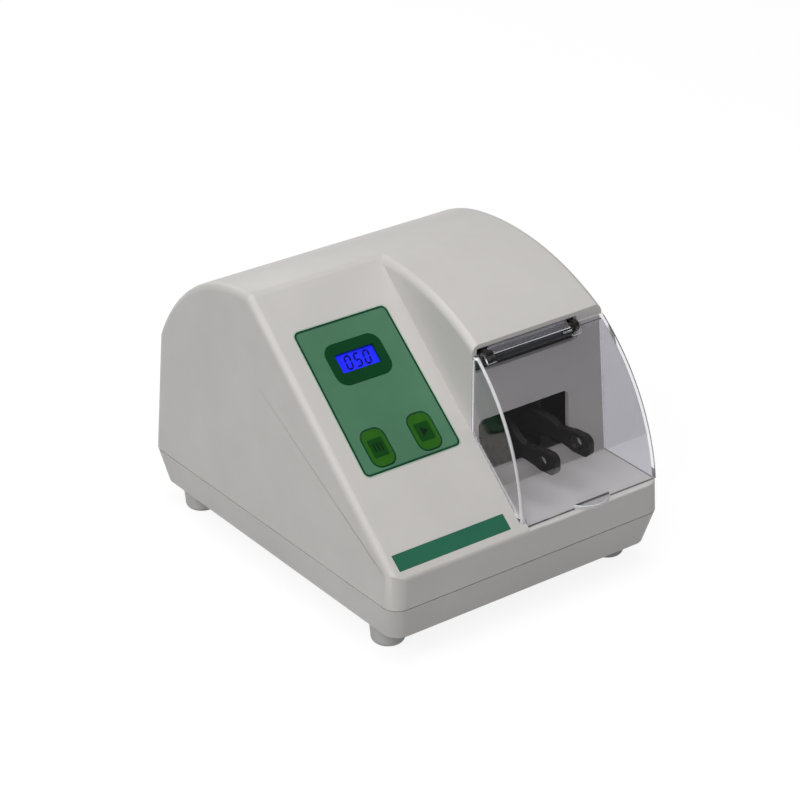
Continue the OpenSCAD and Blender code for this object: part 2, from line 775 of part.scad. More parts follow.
// Rocker in its off position: the lower half stands out
module power_rocker() color([0.75, 0.1, 0.1]) on_rear(rocker_x, rocker_h) translate([0, rocker_pivot_y, 0])
    rotate([rocker_throw, 0, 0]) {
        w = rocker_w / 2 - slide_gap;
        difference() {
            along_x(-w, w) intersection() {
                circle(rocker_r);
                translate([-rocker_r / 2, -rocker_r]) square([2 * rocker_r, 2 * rocker_r]);
            }
            for (s = [-1, 1]) rotate([s * rocker_throw, 0, 0])
                box(-20, 20, 7.3, 20, s > 0 ? 0 : -20, s > 0 ? 20 : 0);
        }
        rod_x(-rocker_w / 2 - 0.9, rocker_w / 2 + 0.9, rocker_pin_r);
    }

// Cover and hinge

knuckle_x0 = (slot_x0 + slot_x1 - knuckle_len) / 2;
knuckle_x1 = knuckle_x0 + knuckle_len;
ear_t = 3;
ear_gap = 2.5;
ear_r = 3.4;
washer_t = ear_gap - seat_gap;
bracket_y0 = wall_y(slot_z1) + wall + seat_gap;
bracket_t = 1.5;

module cover_notch_x() for (x = [[knuckle_x0 - ear_gap - ear_t - slide_gap, knuckle_x0],
    [knuckle_x1, knuckle_x1 + ear_gap + ear_t + slide_gap]]) at_hinge() rod_x(x[0], x[1], knuckle_r + 1.2);

// Side view of the cover, inset by t: the big arc, cut off in front of the chamber wall
module cover_profile(t) {
    difference() {
        intersection() {
            translate([cover_cy, cover_cz]) circle(r = cover_r - t, $fn = 240);
            translate([-body_d, front_z + (t > 0 ? -10 : slide_gap)]) square([2 * body_d, 2 * top_z]);
            if (t == 0) polygon([[wall_y(0) - 0.5, 0], [-body_d, 0], [-body_d, 2 * top_z],
                [wall_y(2 * top_z) - 0.5, 2 * top_z]]);
        }
        if (t == 0) {
            reach = 12 / hinge_r;
            polygon([[hinge_line_y, hinge_z],
                [hinge_line_y - (cover_cy - hinge_line_y) * reach, hinge_z + (hinge_z - cover_cz) * reach],
                [hinge_line_y + 20, hinge_z + 20], [hinge_line_y + 20, hinge_z]]);
        }
    }
}

cover_side_gap = 0.6;

module cover_left(t) along_y(-body_d, body_d) polygon([[hood_left_x(0) + t, 0], [body_w, 0],
    [body_w, 2 * top_z], [hood_left_x(2 * top_z) + t, 2 * top_z]]);

module clear_cover() color([0.8, 0.85, 0.88, 0.45]) difference() {
    union() {
        difference() {
            intersection() {
                body_block(cover_side_gap);
                cover_left(0);
                along_x(chamber_x - 2 * wall, half_w) cover_profile(0);
            }
            intersection() {
                body_block(cover_side_gap + cover_t);
                cover_left(cover_t);
                along_x(chamber_x - 2 * wall, half_w) cover_profile(cover_t);
            }
        }
        at_hinge() rod_x(hood_left_x(hinge_z) + 1, side_x(hinge_z) - cover_side_gap - 1,
            hinge_depth - 0.1);
        intersection() {
            at_hinge() rod_x(knuckle_x0, knuckle_x1, knuckle_r);
            along_x(knuckle_x0 - 1, knuckle_x1 + 1) translate([cover_cy, cover_cz])
                circle(r = cover_r, $fn = 240);
        }
        intersection() {
            tab_r = (pow(tab_w / 2, 2) + pow(tab_reach, 2)) / (2 * tab_reach);
            cover_front = cover_cy - sqrt(pow(cover_r, 2) - pow(front_z - cover_cz, 2));
            tab_front = cover_front - tab_reach;
            translate([window_x + 11, tab_front + tab_r, front_z + slide_gap + 0.2])
                cylinder(h = 2.6, r = tab_r);
            box(0, half_w, -body_d, cover_cy - cover_r + cover_t, 0, top_z);
        }
    }
    along_x(-half_w, chamber_x + slide_gap) under_slope(-slide_gap);
    cover_notch_x();
    at_hinge() rod_x(knuckle_x0 - 1, knuckle_x1 + 1, hinge_pin_d / 2 + seat_gap);
    at_magnet() rod_x(0, magnet_len + 0.1, magnet_r + seat_gap);
}

magnet_r = 1;
magnet_len = 5;
module at_magnet() translate([knuckle_x1 - magnet_len, hinge_line_y, hinge_z - knuckle_r + 1.7]) children();

module cover_magnet() color(steel) at_magnet() rod_x(0.1, magnet_len, magnet_r);

// Black bracket behind the slot: its two ears carry the hinge pin
module hinge_bracket() color(dark) difference() {
    union() {
        box(slot_x0 + slide_gap, slot_x1 + 4, bracket_y0, bracket_y0 + bracket_t,
            slot_z1 - slot_h - 4, slot_z1 - 1);
        for (x = [knuckle_x0 - ear_gap - ear_t, knuckle_x1 + ear_gap]) {
            at_hinge() rod_x(x, x + ear_t, ear_r);
            box(x, x + ear_t, hinge_line_y, bracket_y0 + 0.1, hinge_z - ear_r, hinge_z + 1);
        }
    }
    at_hinge() rod_x(-10, body_w, hinge_pin_d / 2 + 0.02);
}

module hinge_pin() color(steel) at_hinge()
    rod_x(knuckle_x0 - ear_gap - ear_t - 0.2, knuckle_x1 + ear_gap + ear_t + 0.2, hinge_pin_d / 2);

module hinge_washers() color([0.9, 0.9, 0.86]) at_hinge()
    for (x = [knuckle_x0 - ear_gap, knuckle_x1 + seat_gap])
        tube_x(x, x + washer_t, hinge_pin_d / 2 + 0.02, hinge_pin_d / 2 + 1.4);

// Small board on the back of the bracket that feels the cover's magnet
sensor_w = 12;
sensor_h = 10;

module lid_sensor() color(board_green)
    translate([knuckle_x1 - 9, bracket_y0 + bracket_t, hinge_z - knuckle_r - 6]) {
        box(0, sensor_w, 0, 1.2, 0, sensor_h);
        box(3, sensor_w - 3, 1.2, 3.4, 3, sensor_h - 3);
    }

// Motor and its frame

bracket_side_t = 3;
bracket_half = 22;
motor_x1 = -4;
motor_x0 = motor_x1 - motor_len;
end_cap_t = 4;
can_t = 1.8;
magnet_t = 3;
air_gap = 0.6;
bush_r = 5;
bush_gap = 0.05;
boss_len = 3;
flange_z = plate_top_z + bracket_side_t;
flange_screw_y = [shaft_y - 15, shaft_y + 15];
front_flange_x = 9;
outboard_x = 60;
outboard_w = 7;
outboard_flange_x = outboard_x + 10.5;
guide_arm = 31;
guide_y = shaft_y + guide_arm;
guide_t = 4;
tail_pin_r = 2.5;
guide_screw_off = 7;
guide_screw_x = [hub_x - guide_screw_off, hub_x + guide_screw_off];
chassis_screw_d = 4;
plate_r = 6;

module motor_plate() color(steel) difference() {
    translate([(plate_x0 + plate_x1) / 2, (plate_y0 + plate_y1) / 2, plate_z]) linear_extrude(plate_t)
        rounded_rect(plate_x1 - plate_x0, plate_y1 - plate_y0, plate_r);
    for (p = isolator_at) translate([p.x, p.y, 0]) cylinder(h = top_z, d = chassis_screw_d + 2 * seat_gap);
    for (x = [front_flange_x, outboard_flange_x], y = flange_screw_y) translate([x, y, 0])
        cylinder(h = top_z, d = chassis_screw_d + 2 * seat_gap);
    for (x = guide_screw_x) translate([x, guide_y + 9, 0])
        cylinder(h = top_z, d = chassis_screw_d + 2 * seat_gap);
}

module isolators() color(dark) for (p = isolator_at) translate([p.x, p.y, tray_floor_z]) difference() {
    rotate_extrude() difference() {
        square([isolator_d / 2, isolator_h]);
        translate([isolator_d / 2 + 1.2, isolator_h / 2]) circle(2.4);
    }
    translate([0, 0, -1]) cylinder(h = isolator_h + 2, d = chassis_screw_d + 2 * seat_gap);
}

module chassis_screw(len) screw(chassis_screw_d, len, 8, 2.6);

module chassis_screws() color(steel) {
    for (p = isolator_at) translate([p.x, p.y, plate_top_z]) chassis_screw(plate_t + isolator_h + 2);
    for (x = [front_flange_x, outboard_flange_x], y = flange_screw_y) translate([x, y, flange_z])
        chassis_screw(bracket_side_t + plate_t);
    for (x = guide_screw_x) translate([x, guide_y + 9, flange_z])
        chassis_screw(bracket_side_t + plate_t);
}

module bracket_holes(x) for (y = flange_screw_y) translate([x, y, 0])
    cylinder(h = flange_z + 1, d = chassis_screw_d + 2 * seat_gap);

module motor_bracket() color(steel) difference() {
    union() {
        box(motor_x1, motor_x1 + bracket_side_t, shaft_y - bracket_half, shaft_y + bracket_half,
            plate_top_z, shaft_z);
        at_shaft() rod_x(motor_x1, motor_x1 + bracket_side_t, bracket_half);
        box(motor_x1, front_flange_x + 6, shaft_y - bracket_half, shaft_y + bracket_half,
            plate_top_z, flange_z);
    }
    at_shaft() rod_x(motor_x1 - 1, motor_x1 + bracket_side_t + 1, bush_r + 2);
    bracket_holes(front_flange_x);
}

module motor_can() color([0.55, 0.56, 0.58]) at_shaft()
    tube_x(motor_x0 + end_cap_t, motor_x1 - end_cap_t, motor_d / 2 - can_t, motor_d / 2);

module motor_magnets() color([0.2, 0.2, 0.22]) at_shaft() intersection() {
    tube_x(motor_x0 + end_cap_t + 6, motor_x1 - end_cap_t - 6, motor_d / 2 - can_t - magnet_t,
        motor_d / 2 - can_t);
    for (s = [-1, 1]) along_x(motor_x0, motor_x1) polygon([[0, 0], [-s * 40, s * 16], [-s * 40, s * 60],
        [s * 40, s * 60], [s * 40, s * 16]]);
}

module motor_end_caps() color([0.3, 0.31, 0.33]) at_shaft() {
    difference() {
        union() {
            rod_x(motor_x1 - end_cap_t, motor_x1, motor_d / 2);
            rod_x(motor_x1 - 0.1, motor_x1 + boss_len, bush_r + 1.95);
        }
        rod_x(motor_x1 - end_cap_t - 1, motor_x1 + boss_len + 1, bush_r);
    }
    difference() {
        union() {
            rod_x(motor_x0, motor_x0 + end_cap_t, motor_d / 2);
            rod_x(motor_x0 - boss_len, motor_x0 + 0.1, bush_r + 1.95);
        }
        rod_x(motor_x0 - boss_len - 1, motor_x0 + end_cap_t + 1, bush_r);
    }
}

module motor_bushes() color([0.7, 0.52, 0.25]) at_shaft() {
    tube_x(motor_x1 - end_cap_t, motor_x1 + boss_len, shaft_r + bush_gap, bush_r);
    tube_x(motor_x0 - boss_len, motor_x0 + end_cap_t, shaft_r + bush_gap, bush_r);
}

core_r = motor_d / 2 - can_t - magnet_t - air_gap;
core_x0 = motor_x0 + end_cap_t + 12;
core_x1 = motor_x1 - end_cap_t - 12;
winding_len = 4;
commutator_r = 6.5;
commutator_len = 6;
brush_x = core_x0 - winding_len - 1 - commutator_len / 2;

module armature_core() color([0.45, 0.45, 0.47]) at_shaft() difference() {
    rod_x(core_x0, core_x1, core_r);
    rod_x(core_x0 - 1, core_x1 + 1, shaft_r + seat_gap);
    for (i = [0:6]) rotate([i * 360 / 7, 0, 0])
        box(core_x0 - 1, core_x1 + 1, -0.9, 0.9, core_r - 5, core_r + 1);
}

module armature_winding() color(copper) at_shaft() for (x = [core_x0 - winding_len, core_x1])
    tube_x(x, x + winding_len, shaft_r + seat_gap, core_r - 1.5);

module commutator() color(copper) at_shaft() difference() {
    tube_x(core_x0 - winding_len - 1 - commutator_len, core_x0 - winding_len - 0.2,
        shaft_r + seat_gap, commutator_r);
    for (i = [0:6]) rotate([i * 360 / 7, 0, 0])
        box(motor_x0, core_x0 - winding_len - 1, -0.25, 0.25, commutator_r - 1, commutator_r + 1);
}

brush_w = 4;

module brush_holders() color([0.7, 0.52, 0.25]) at_shaft() for (s = [-1, 1]) difference() {
    w = brush_w / 2 + 0.8;
    box(motor_x0 + end_cap_t, brush_x + w, min(s * 8.5, s * 16.5), max(s * 8.5, s * 16.5), -w, w);
    box(brush_x - brush_w / 2 - seat_gap, brush_x + brush_w / 2 + seat_gap, -20, 20,
        -brush_w / 2 - seat_gap, brush_w / 2 + seat_gap);
}

module brushes() color(dark) at_shaft() for (s = [-1, 1])
    box(brush_x - brush_w / 2, brush_x + brush_w / 2, min(s * (commutator_r + 0.2), s * 15),
        max(s * (commutator_r + 0.2), s * 15), -brush_w / 2, brush_w / 2);

outboard_r = outboard_d / 2;
race_t = 2.4;

module outboard_bracket() color(steel) difference() {
    union() {
        box(outboard_x, outboard_x + bracket_side_t, shaft_y - 15 - 5, shaft_y + 15 + 5,
            plate_top_z, shaft_z);
        at_shaft() rod_x(outboard_x, outboard_x + outboard_w, outboard_r + 4);
        box(outboard_x, outboard_flange_x + 6, shaft_y - 20, shaft_y + 20, plate_top_z, flange_z);
    }
    at_shaft() rod_x(outboard_x - 1, outboard_x + outboard_w + 1, outboard_r + 0.02);
    bracket_holes(outboard_flange_x);
}

module outboard_outer_race() color(steel) at_shaft()
    tube_x(outboard_x, outboard_x + outboard_w, outboard_r - race_t, outboard_r);

module outboard_inner_race() color(steel) at_shaft()
    tube_x(outboard_x, outboard_x + outboard_w, shaft_r + 0.02, outboard_r - race_t - seat_gap);

module torque_guide() color([0.9, 0.9, 0.86]) difference() {
    union() {
        translate([hub_x, 0, shaft_z]) along_y(guide_y - guide_t / 2, guide_y + guide_t / 2)
            rounded_rect(26, 20, 3);
        box(hub_x - 11, hub_x + 11, guide_y - guide_t / 2, guide_y + guide_t / 2, plate_top_z, shaft_z);
        box(hub_x - 11, hub_x + 11, guide_y - guide_t / 2, guide_y + 14, plate_top_z, flange_z);
    }
    sway = guide_arm * sin(hub_tilt) + 1;
    translate([hub_x, 0, shaft_z]) along_y(guide_y - guide_t, guide_y + guide_t) {
        square([2 * sway, 2 * tail_pin_r + 2 * slide_gap], center = true);
        for (s = [-1, 1]) translate([s * sway, 0]) circle(tail_pin_r + slide_gap);
    }
    for (x = guide_screw_x) translate([x, guide_y + 9, 0])
        cylinder(h = flange_z + 1, d = chassis_screw_d + 2 * seat_gap);
}

// Turning parts on the shaft

shaft_x0 = motor_x0 - 14;
shaft_x1 = outboard_x + outboard_w + 1.5;
fan_r = 17;
fan_len = 7;
fan_x = shaft_x0 + 0.5;

module motor_shaft() color(steel) at_shaft() rod_x(shaft_x0, shaft_x1, shaft_r);

module fan() color([0.2, 0.2, 0.22]) at_shaft() difference() {
    union() {
        rod_x(fan_x, fan_x + fan_len, 6.5);
        rod_x(fan_x, fan_x + 1.2, fan_r);
        for (i = [0:8]) rotate([i * 40, 0, 0]) box(fan_x, fan_x + fan_len, -0.7, 0.7, 6, fan_r - 0.5);
    }
    rod_x(fan_x - 1, fan_x + fan_len + 1, shaft_r + seat_gap);
}

module balance_weights() color(steel) at_shaft() for (s = [-1, 1]) {
    x = hub_x + s * 20 - 2;
    difference() {
        union() {
            rod_x(x, x + 4, 7);
            intersection() {
                rod_x(x, x + 4, 13);
                box(x - 1, x + 5, min(0, s * 20), max(0, s * 20), -20, 20);
            }
        }
        rod_x(x - 1, x + 5, shaft_r + seat_gap);
    }
}

bearing_w = 8;
bearing_r = hub_bearing_d / 2;
journal_r = 6;
ball_r = 2;
pitch_r = (journal_r + bearing_r) / 2;
race_gap = 1.4;

// Sleeve on the shaft whose journal leans by the skew angle
module skew_hub() color([0.62, 0.63, 0.65]) difference() {
    union() {
        at_hub() {
            rod_x(-7, 7, journal_r);
            rod_x(bearing_w / 2, bearing_w / 2 + 2.5, journal_r + 1.6);
        }
        at_shaft() rod_x(hub_x + 7.5, hub_x + 14, 8);
    }
    at_shaft() rod_x(hub_x - 20, hub_x + 20, shaft_r + 0.02);
}

module hub_race(r0, r1) difference() {
    tube_x(-bearing_w / 2, bearing_w / 2, r0, r1);
    rotate([0, 90, 0]) rotate_extrude() translate([pitch_r, 0]) circle(ball_r + seat_gap);
}

module hub_inner_race() color(steel) at_hub() hub_race(journal_r, pitch_r - race_gap);
module hub_outer_race() color(steel) at_hub() hub_race(pitch_r + race_gap, bearing_r);

module hub_balls() color(steel) at_hub() for (i = [0:8]) rotate([i * 40, 0, 0]) translate([0, 0, pitch_r])
    sphere(ball_r);

// Arm: hub ring with its tail pin, two fork arms and their screws

ring_half = 6;
ring_r = arm_hub_d / 2;
arm_screw_r = (ring_r + bearing_r) / 2;
arm_root_hole_r = bearing_r - 2.5;
arm_screw_angles = [55, 180, 305];
paddle_r = 6.4;
paddle_shift = 2;
paddle_front = 9.6;
paddle_corner_r = 4.6;
droop = 4;
flare = fork_gap / 2 - ring_half;

module arm_screw_at() for (a = arm_screw_angles) rotate([a, 0, 0]) translate([0, arm_screw_r, 0]) children();

module arm_hub() color([0.66, 0.67, 0.68]) at_hub() difference() {
    union() {
        rod_x(-ring_half, ring_half, ring_r);
        along_y(ring_r - 2, guide_arm + guide_t / 2 + 3) circle(tail_pin_r);
        along_y(ring_r - 4, ring_r + 3) circle(4.5);
    }
    rod_x(-ring_half - 1, ring_half + 1, bearing_r + 0.02);
    for (s = [0, 1]) mirror([s, 0, 0]) arm_screw_at() rod_x(1, ring_half + 1, 1.25 + seat_gap);
}

// Side form of an arm: root ring, tapering web, paddle with its hole
module arm_side(x0, x1) difference() {
    union() {
        rod_x(x0, x1, ring_r - 0.5);
        along_x(x0, x1) polygon([[0, 13], [0, -13], [-arm_reach + 14, -droop - 4],
            [-arm_reach + 2, -droop - 6], [-arm_reach + 2, -droop + 6],
            [-arm_reach + 14, -droop + 4.5], [-34, 9]]);
        translate([0, -arm_reach, -droop]) {
            side = paddle_r - paddle_corner_r;
            for (s = [-side, side]) translate([0, paddle_corner_r - paddle_front, s])
                rod_x(x0, x1, paddle_corner_r);
            box(x0, x1, -paddle_front, paddle_shift, -side, side);
            box(x0, x1, paddle_corner_r - paddle_front, paddle_shift, -paddle_r, paddle_r);
            translate([0, paddle_shift, 0]) rod_x(x0, x1, paddle_r);
        }
    }
    rod_x(x0 - 1, x1 + 1, arm_root_hole_r);
    translate([0, -arm_reach, -droop]) rod_x(x0 - 1, x1 + 1, paddle_hole_d / 2);
}

module fork_arm(side) at_hub() mirror([side < 0 ? 1 : 0, 0, 0]) difference() {
    intersection() {
        arm_side(ring_half, ring_half + flare + arm_t);
        translate([0, 0, -40]) linear_extrude(80) polygon([[ring_half, 25], [ring_half + arm_t, 25],
            [ring_half + arm_t, -34], [ring_half + arm_t + flare, -46], [ring_half + arm_t + flare, -90],
            [ring_half + flare, -90], [ring_half + flare, -46.5], [ring_half, -34.5]]);
    }
    translate([ring_half + flare - 0.01, -arm_reach, -droop]) rotate([0, 90, 0])
        cylinder(h = 1.6, r1 = paddle_hole_d / 2 + 1.6, r2 = paddle_hole_d / 2);
    arm_screw_at() rod_x(ring_half - 1, ring_half + arm_t + 1, 1.25 + seat_gap);
}

module fork_arm_left() color(dark) fork_arm(-1);
module fork_arm_right() color(dark) fork_arm(1);

module arm_screws() color(steel) at_hub() for (s = [0, 1]) mirror([s, 0, 0]) arm_screw_at()
    translate([ring_half + arm_t, 0, 0]) rotate([0, 90, 0]) screw(2.5, arm_t + 4, 4.4, 1.4);

lower_tray();
upper_housing();
feet();
foot_screws();
case_screws();
panel_overlay();
lcd_bezel();
lcd_module();
strip_label();
display_board();
board_screws();
tact_switches();
display_ribbon();
main_board();
transformer_core();
transformer_winding();
capacitors();
relay();
power_inlet();
inlet_pins();
inlet_screws();
rocker_bezel();
hinge_bracket();
hinge_pin();
hinge_washers();
lid_sensor();
motor_plate();
isolators();
chassis_screws();
motor_bracket();
motor_can();
motor_magnets();
motor_end_caps();
motor_bushes();
brush_holders();
brushes();
outboard_bracket();
outboard_outer_race();
torque_guide();
motor_shaft();
fan();
armature_core();
armature_winding();
commutator();
outboard_inner_race();
skew_hub();
hub_inner_race();
hub_balls();
balance_weights();
hub_outer_race();
arm_hub();
fork_arm_left();
fork_arm_right();
arm_screws();
clear_cover();
cover_magnet();
set_key();
start_key();
power_rocker();
fuse_drawer();
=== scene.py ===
import math
import bpy
import bmesh
from mathutils import Matrix, Vector


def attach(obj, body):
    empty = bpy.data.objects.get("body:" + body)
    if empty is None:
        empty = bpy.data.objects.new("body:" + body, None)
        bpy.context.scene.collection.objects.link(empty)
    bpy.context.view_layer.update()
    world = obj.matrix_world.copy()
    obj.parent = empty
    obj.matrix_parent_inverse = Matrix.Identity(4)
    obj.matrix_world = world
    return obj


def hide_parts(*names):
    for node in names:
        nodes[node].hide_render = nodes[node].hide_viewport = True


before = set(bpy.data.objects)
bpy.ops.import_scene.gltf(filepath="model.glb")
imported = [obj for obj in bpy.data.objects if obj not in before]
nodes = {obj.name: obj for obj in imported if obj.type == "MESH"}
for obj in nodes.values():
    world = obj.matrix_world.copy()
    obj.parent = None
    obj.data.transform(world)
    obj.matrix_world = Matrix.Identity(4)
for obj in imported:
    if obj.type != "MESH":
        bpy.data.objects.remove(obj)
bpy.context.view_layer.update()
print("frame loaded:", len(nodes), "nodes")

# Lengths in the dictionaries below are millimetres. finishPiece turns them into metres.
mm = 0.001

caseShape = {
    "halfWidth": 92, "halfDepth": 115, "cornerRadius": 9, "wall": 2.8,
    "footLine": 13.5, "seam": 33.5, "seamGap": 0.6, "frontEdge": 51.7, "top": 161.5,
    "sideLean": 2.4, "frontLean": 1.8, "rearLean": 2.9, "slope": 39,
    "crownY": 16, "crownRadius": 156, "rearRadius": 88, "crownJoin": 24,
    "chamberX": -1.3, "chamberY": -68.2, "wallLean": 3.3,
    "sideRound": 4.2, "ridgeRound": 2.6, "frontRound": 1.3, "rimRound": 1.1, "hoodRimRound": 0.9,
    "chamberEdgeRound": 0.8,
}


def leanOf(name):
    return math.tan(math.radians(caseShape[name]))


def sideX(z):
    return caseShape["halfWidth"] - (z - caseShape["seam"]) * leanOf("sideLean")


def frontY(z):
    return -caseShape["halfDepth"] + (z - caseShape["seam"]) * leanOf("frontLean")


def rearY(z):
    return caseShape["halfDepth"] - (z - caseShape["seam"]) * leanOf("rearLean")


def wallY(z):
    return caseShape["chamberY"] + (z - caseShape["frontEdge"]) * leanOf("wallLean")


def hoodLeftX(z):
    atHand = caseShape["chamberX"] - caseShape["wall"] + 0.4
    return atHand + (z - caseShape["frontEdge"] - 38) * leanOf("sideLean")


slopeAngle = math.radians(caseShape["slope"])
frontEdgeY = frontY(caseShape["frontEdge"])


def onSlope(x, s, n=0):
    turn = Matrix.Rotation(slopeAngle, 4, "X")
    return Matrix.Translation((x, frontEdgeY, caseShape["frontEdge"])) @ turn @ Matrix.Translation((0, s, n))


def onRear(x, height):
    turn = Matrix.Rotation(math.radians(caseShape["rearLean"]), 4, "X")
    foot = Matrix.Translation((x, caseShape["halfDepth"], caseShape["seam"]))
    return foot @ turn @ Matrix.Translation((0, 0, height))


# Mesh helpers

def raiseFace(bm, face, distance):
    # draws a flat face out into a closed prism
    made = bmesh.ops.extrude_face_region(bm, geom=[face])["geom"]
    bmesh.ops.translate(bm, verts=[v for v in made if isinstance(v, bmesh.types.BMVert)], vec=distance)
    bmesh.ops.recalc_face_normals(bm, faces=bm.faces)


def extrudeOutline(points, distance):
    bm = bmesh.new()
    raiseFace(bm, bm.faces.new([bm.verts.new(p) for p in points]), distance)
    return bm


def prismAlongX(outline, x0, x1):
    return extrudeOutline([(x0, y, z) for y, z in outline], (x1 - x0, 0, 0))


def box(x0, x1, y0, y1, z0, z1):
    return extrudeOutline([(x0, y0, z0), (x1, y0, z0), (x1, y1, z0), (x0, y1, z0)], (0, 0, z1 - z0))


def rod(place, start, end, radius, segments=32):
    # a round rod along the local Z
    bm = bmesh.new()
    bmesh.ops.create_cone(bm, cap_ends=True, segments=segments, radius1=radius, radius2=radius,
                          depth=end - start, matrix=place @ Matrix.Translation((0, 0, (start + end) / 2)))
    return bm


def rodAlongX(x0, x1, y, z, radius, segments=48):
    reach = (x1 - x0) / 2
    middle = Matrix.Translation(((x0 + x1) / 2, y, z)) @ Matrix.Rotation(math.pi / 2, 4, "Y")
    return rod(middle, -reach, reach, radius, segments)


def bevelEdges(bm, edges, width, segments=3):
    bmesh.ops.bevel(bm, geom=edges, offset=width, offset_type="OFFSET", segments=segments, profile=0.5,
                    affect="EDGES", clamp_overlap=True, material=-1)


def edgesNear(bm, test):
    return [e for e in bm.edges if all(test(v.co) for v in e.verts)]


def topFace(bm):
    return max(bm.faces, key=lambda f: f.calc_center_median().z)


def insetFace(bm, face, width, rise=0.0):
    return bmesh.ops.inset_region(bm, faces=[face], thickness=width, depth=rise, use_even_offset=True)["faces"]


def roundCap(bm, side, radius, steps=6):
    # draws the end of a prism in, step by step, so that its rim becomes a quarter round
    cap = max(bm.faces, key=lambda f: side * f.calc_center_median().x)
    bmesh.ops.translate(bm, verts=cap.verts, vec=(-side * radius, 0, 0))
    for k in range(steps):
        a0, a1 = (math.pi / 2 * i / steps for i in (k, k + 1))
        insetFace(bm, cap, radius * (math.cos(a0) - math.cos(a1)), radius * (math.sin(a1) - math.sin(a0)))


def cutAway(bm, point, normal):
    # takes off what lies past a plane, closes the cut and returns its edges
    cut = bmesh.ops.bisect_plane(bm, geom=bm.verts[:] + bm.edges[:] + bm.faces[:], plane_co=point,
                                 plane_no=normal, clear_outer=True)
    edges = [e for e in cut["geom_cut"] if isinstance(e, bmesh.types.BMEdge)]
    bmesh.ops.holes_fill(bm, edges=edges, sides=0)
    bmesh.ops.recalc_face_normals(bm, faces=bm.faces)
    return edges


def meshFrom(bm, name="work"):
    mesh = bpy.data.meshes.new(name)
    bm.to_mesh(mesh)
    bm.free()
    return mesh


def linked(name, data):
    obj = bpy.data.objects.new(name, data)
    bpy.context.scene.collection.objects.link(obj)
    return obj


def addTo(result, part, materialIndex=None):
    if materialIndex is not None:
        for f in part.faces:
            f.material_index = materialIndex
    mesh = meshFrom(part)
    result.from_mesh(mesh)
    bpy.data.meshes.remove(mesh)


def combine(base, tools, operation):
    objects = [linked("work", meshFrom(bm)) for bm in [base] + tools]
    for tool in objects[1:]:
        modifier = objects[0].modifiers.new("combine", "BOOLEAN")
        modifier.operation = operation
        modifier.solver = "EXACT"
        modifier.object = tool
    evaluated = objects[0].evaluated_get(bpy.context.evaluated_depsgraph_get())
    mesh = bpy.data.meshes.new_from_object(evaluated)
    result = bmesh.new()
    result.from_mesh(mesh)
    for obj in objects:
        old = obj.data
        bpy.data.objects.remove(obj)
        bpy.data.meshes.remove(old)
    bpy.data.meshes.remove(mesh)
    bmesh.ops.remove_doubles(result, verts=result.verts, dist=0.0005)
    return result


def finishPiece(bm, name, body, finishNames, stands=(), smoothAngle=30, scale=mm):
    if scale != 1:
        bmesh.ops.scale(bm, verts=bm.verts, vec=(scale, scale, scale))
    mesh = meshFrom(bm, name)
    mesh.shade_smooth()
    mesh.set_sharp_from_angle(angle=math.radians(smoothAngle))
    for finish in finishNames:
        mesh.materials.append(finishes[finish])
    obj = linked(name, mesh)
    weighted = obj.modifiers.new("weighted", "WEIGHTED_NORMAL")
    weighted.keep_sharp = True
    weighted.weight = 80
    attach(obj, body)
    if stands:
        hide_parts(*stands)


def copyOfNode(nodeName):
    bm = bmesh.new()
    bm.from_mesh(nodes[nodeName].data)
    bmesh.ops.remove_doubles(bm, verts=bm.verts, dist=2e-6)
    bmesh.ops.dissolve_limit(bm, angle_limit=math.radians(0.8), verts=bm.verts, edges=bm.edges)
    return bm


def softenedCopy(nodeName, name, body, slotName, width, segments=2, where=None):
    bm = copyOfNode(nodeName)
    sharp = [e for e in bm.edges if len(e.link_faces) == 2 and e.calc_face_angle(0) > math.radians(32)]
    if where:
        sharp = [e for e in sharp if where(e)]
    bevelEdges(bm, sharp, width * mm, segments)
    finishPiece(bm, name, body, [finishOf[nodeName]], (nodeName,), 40, 1)


# Materials

def tone(red, green, blue):
    # a colour as a paint program gives it, in 0 to 255
    parts = []
    for value in (red, green, blue):
        v = value / 255
        parts.append(v / 12.92 if v <= 0.04045 else ((v + 0.055) / 1.055) ** 2.4)
    return (*parts, 1.0)


def addNode(tree, kind, **settings):
    made = tree.nodes.new("ShaderNode" + kind)
    for key, value in settings.items():
        setattr(made, key, value)
    return made


def feed(tree, node, values):
    # gives each input, by name or by number, a value or a link
    for key, value in values.items():
        if isinstance(value, bpy.types.NodeSocket):
            tree.links.new(value, node.inputs[key])
        else:
            node.inputs[key].default_value = value
    return node


def newGroup(name, inputs, outputs):
    # a shader group, its inputs, its end and the Object coordinates
    group = bpy.data.node_groups.new(name, "ShaderNodeTree")
    for label, value in inputs.items():
        kind = "NodeSocketVector" if isinstance(value, tuple) else "NodeSocketFloat"
        group.interface.new_socket(label, in_out="INPUT", socket_type=kind).default_value = value
    for label in outputs:
        group.interface.new_socket(label, in_out="OUTPUT", socket_type="NodeSocketFloat")
    where = addNode(group, "TexCoord").outputs["Object"]
    return group, group.nodes.new("NodeGroupInput").outputs, group.nodes.new("NodeGroupOutput"), where


def addNoise(tree, where, scale, detail=3.0, roughness=0.5):
    noise = addNode(tree, "TexNoise")
    feed(tree, noise, {"Vector": where, "Scale": scale, "Detail": detail, "Roughness": roughness})
    return noise.outputs["Fac"]


def addRange(tree, value, low, high, newLow=0.0, newHigh=1.0):
    made = addNode(tree, "MapRange")
    feed(tree, made, {"Value": value, "From Min": low, "From Max": high, "To Min": newLow, "To Max": newHigh})
    return made.outputs["Result"]


def addMath(tree, operation, a, b):
    return feed(tree, addNode(tree, "Math", operation=operation), {0: a, 1: b}).outputs[0]


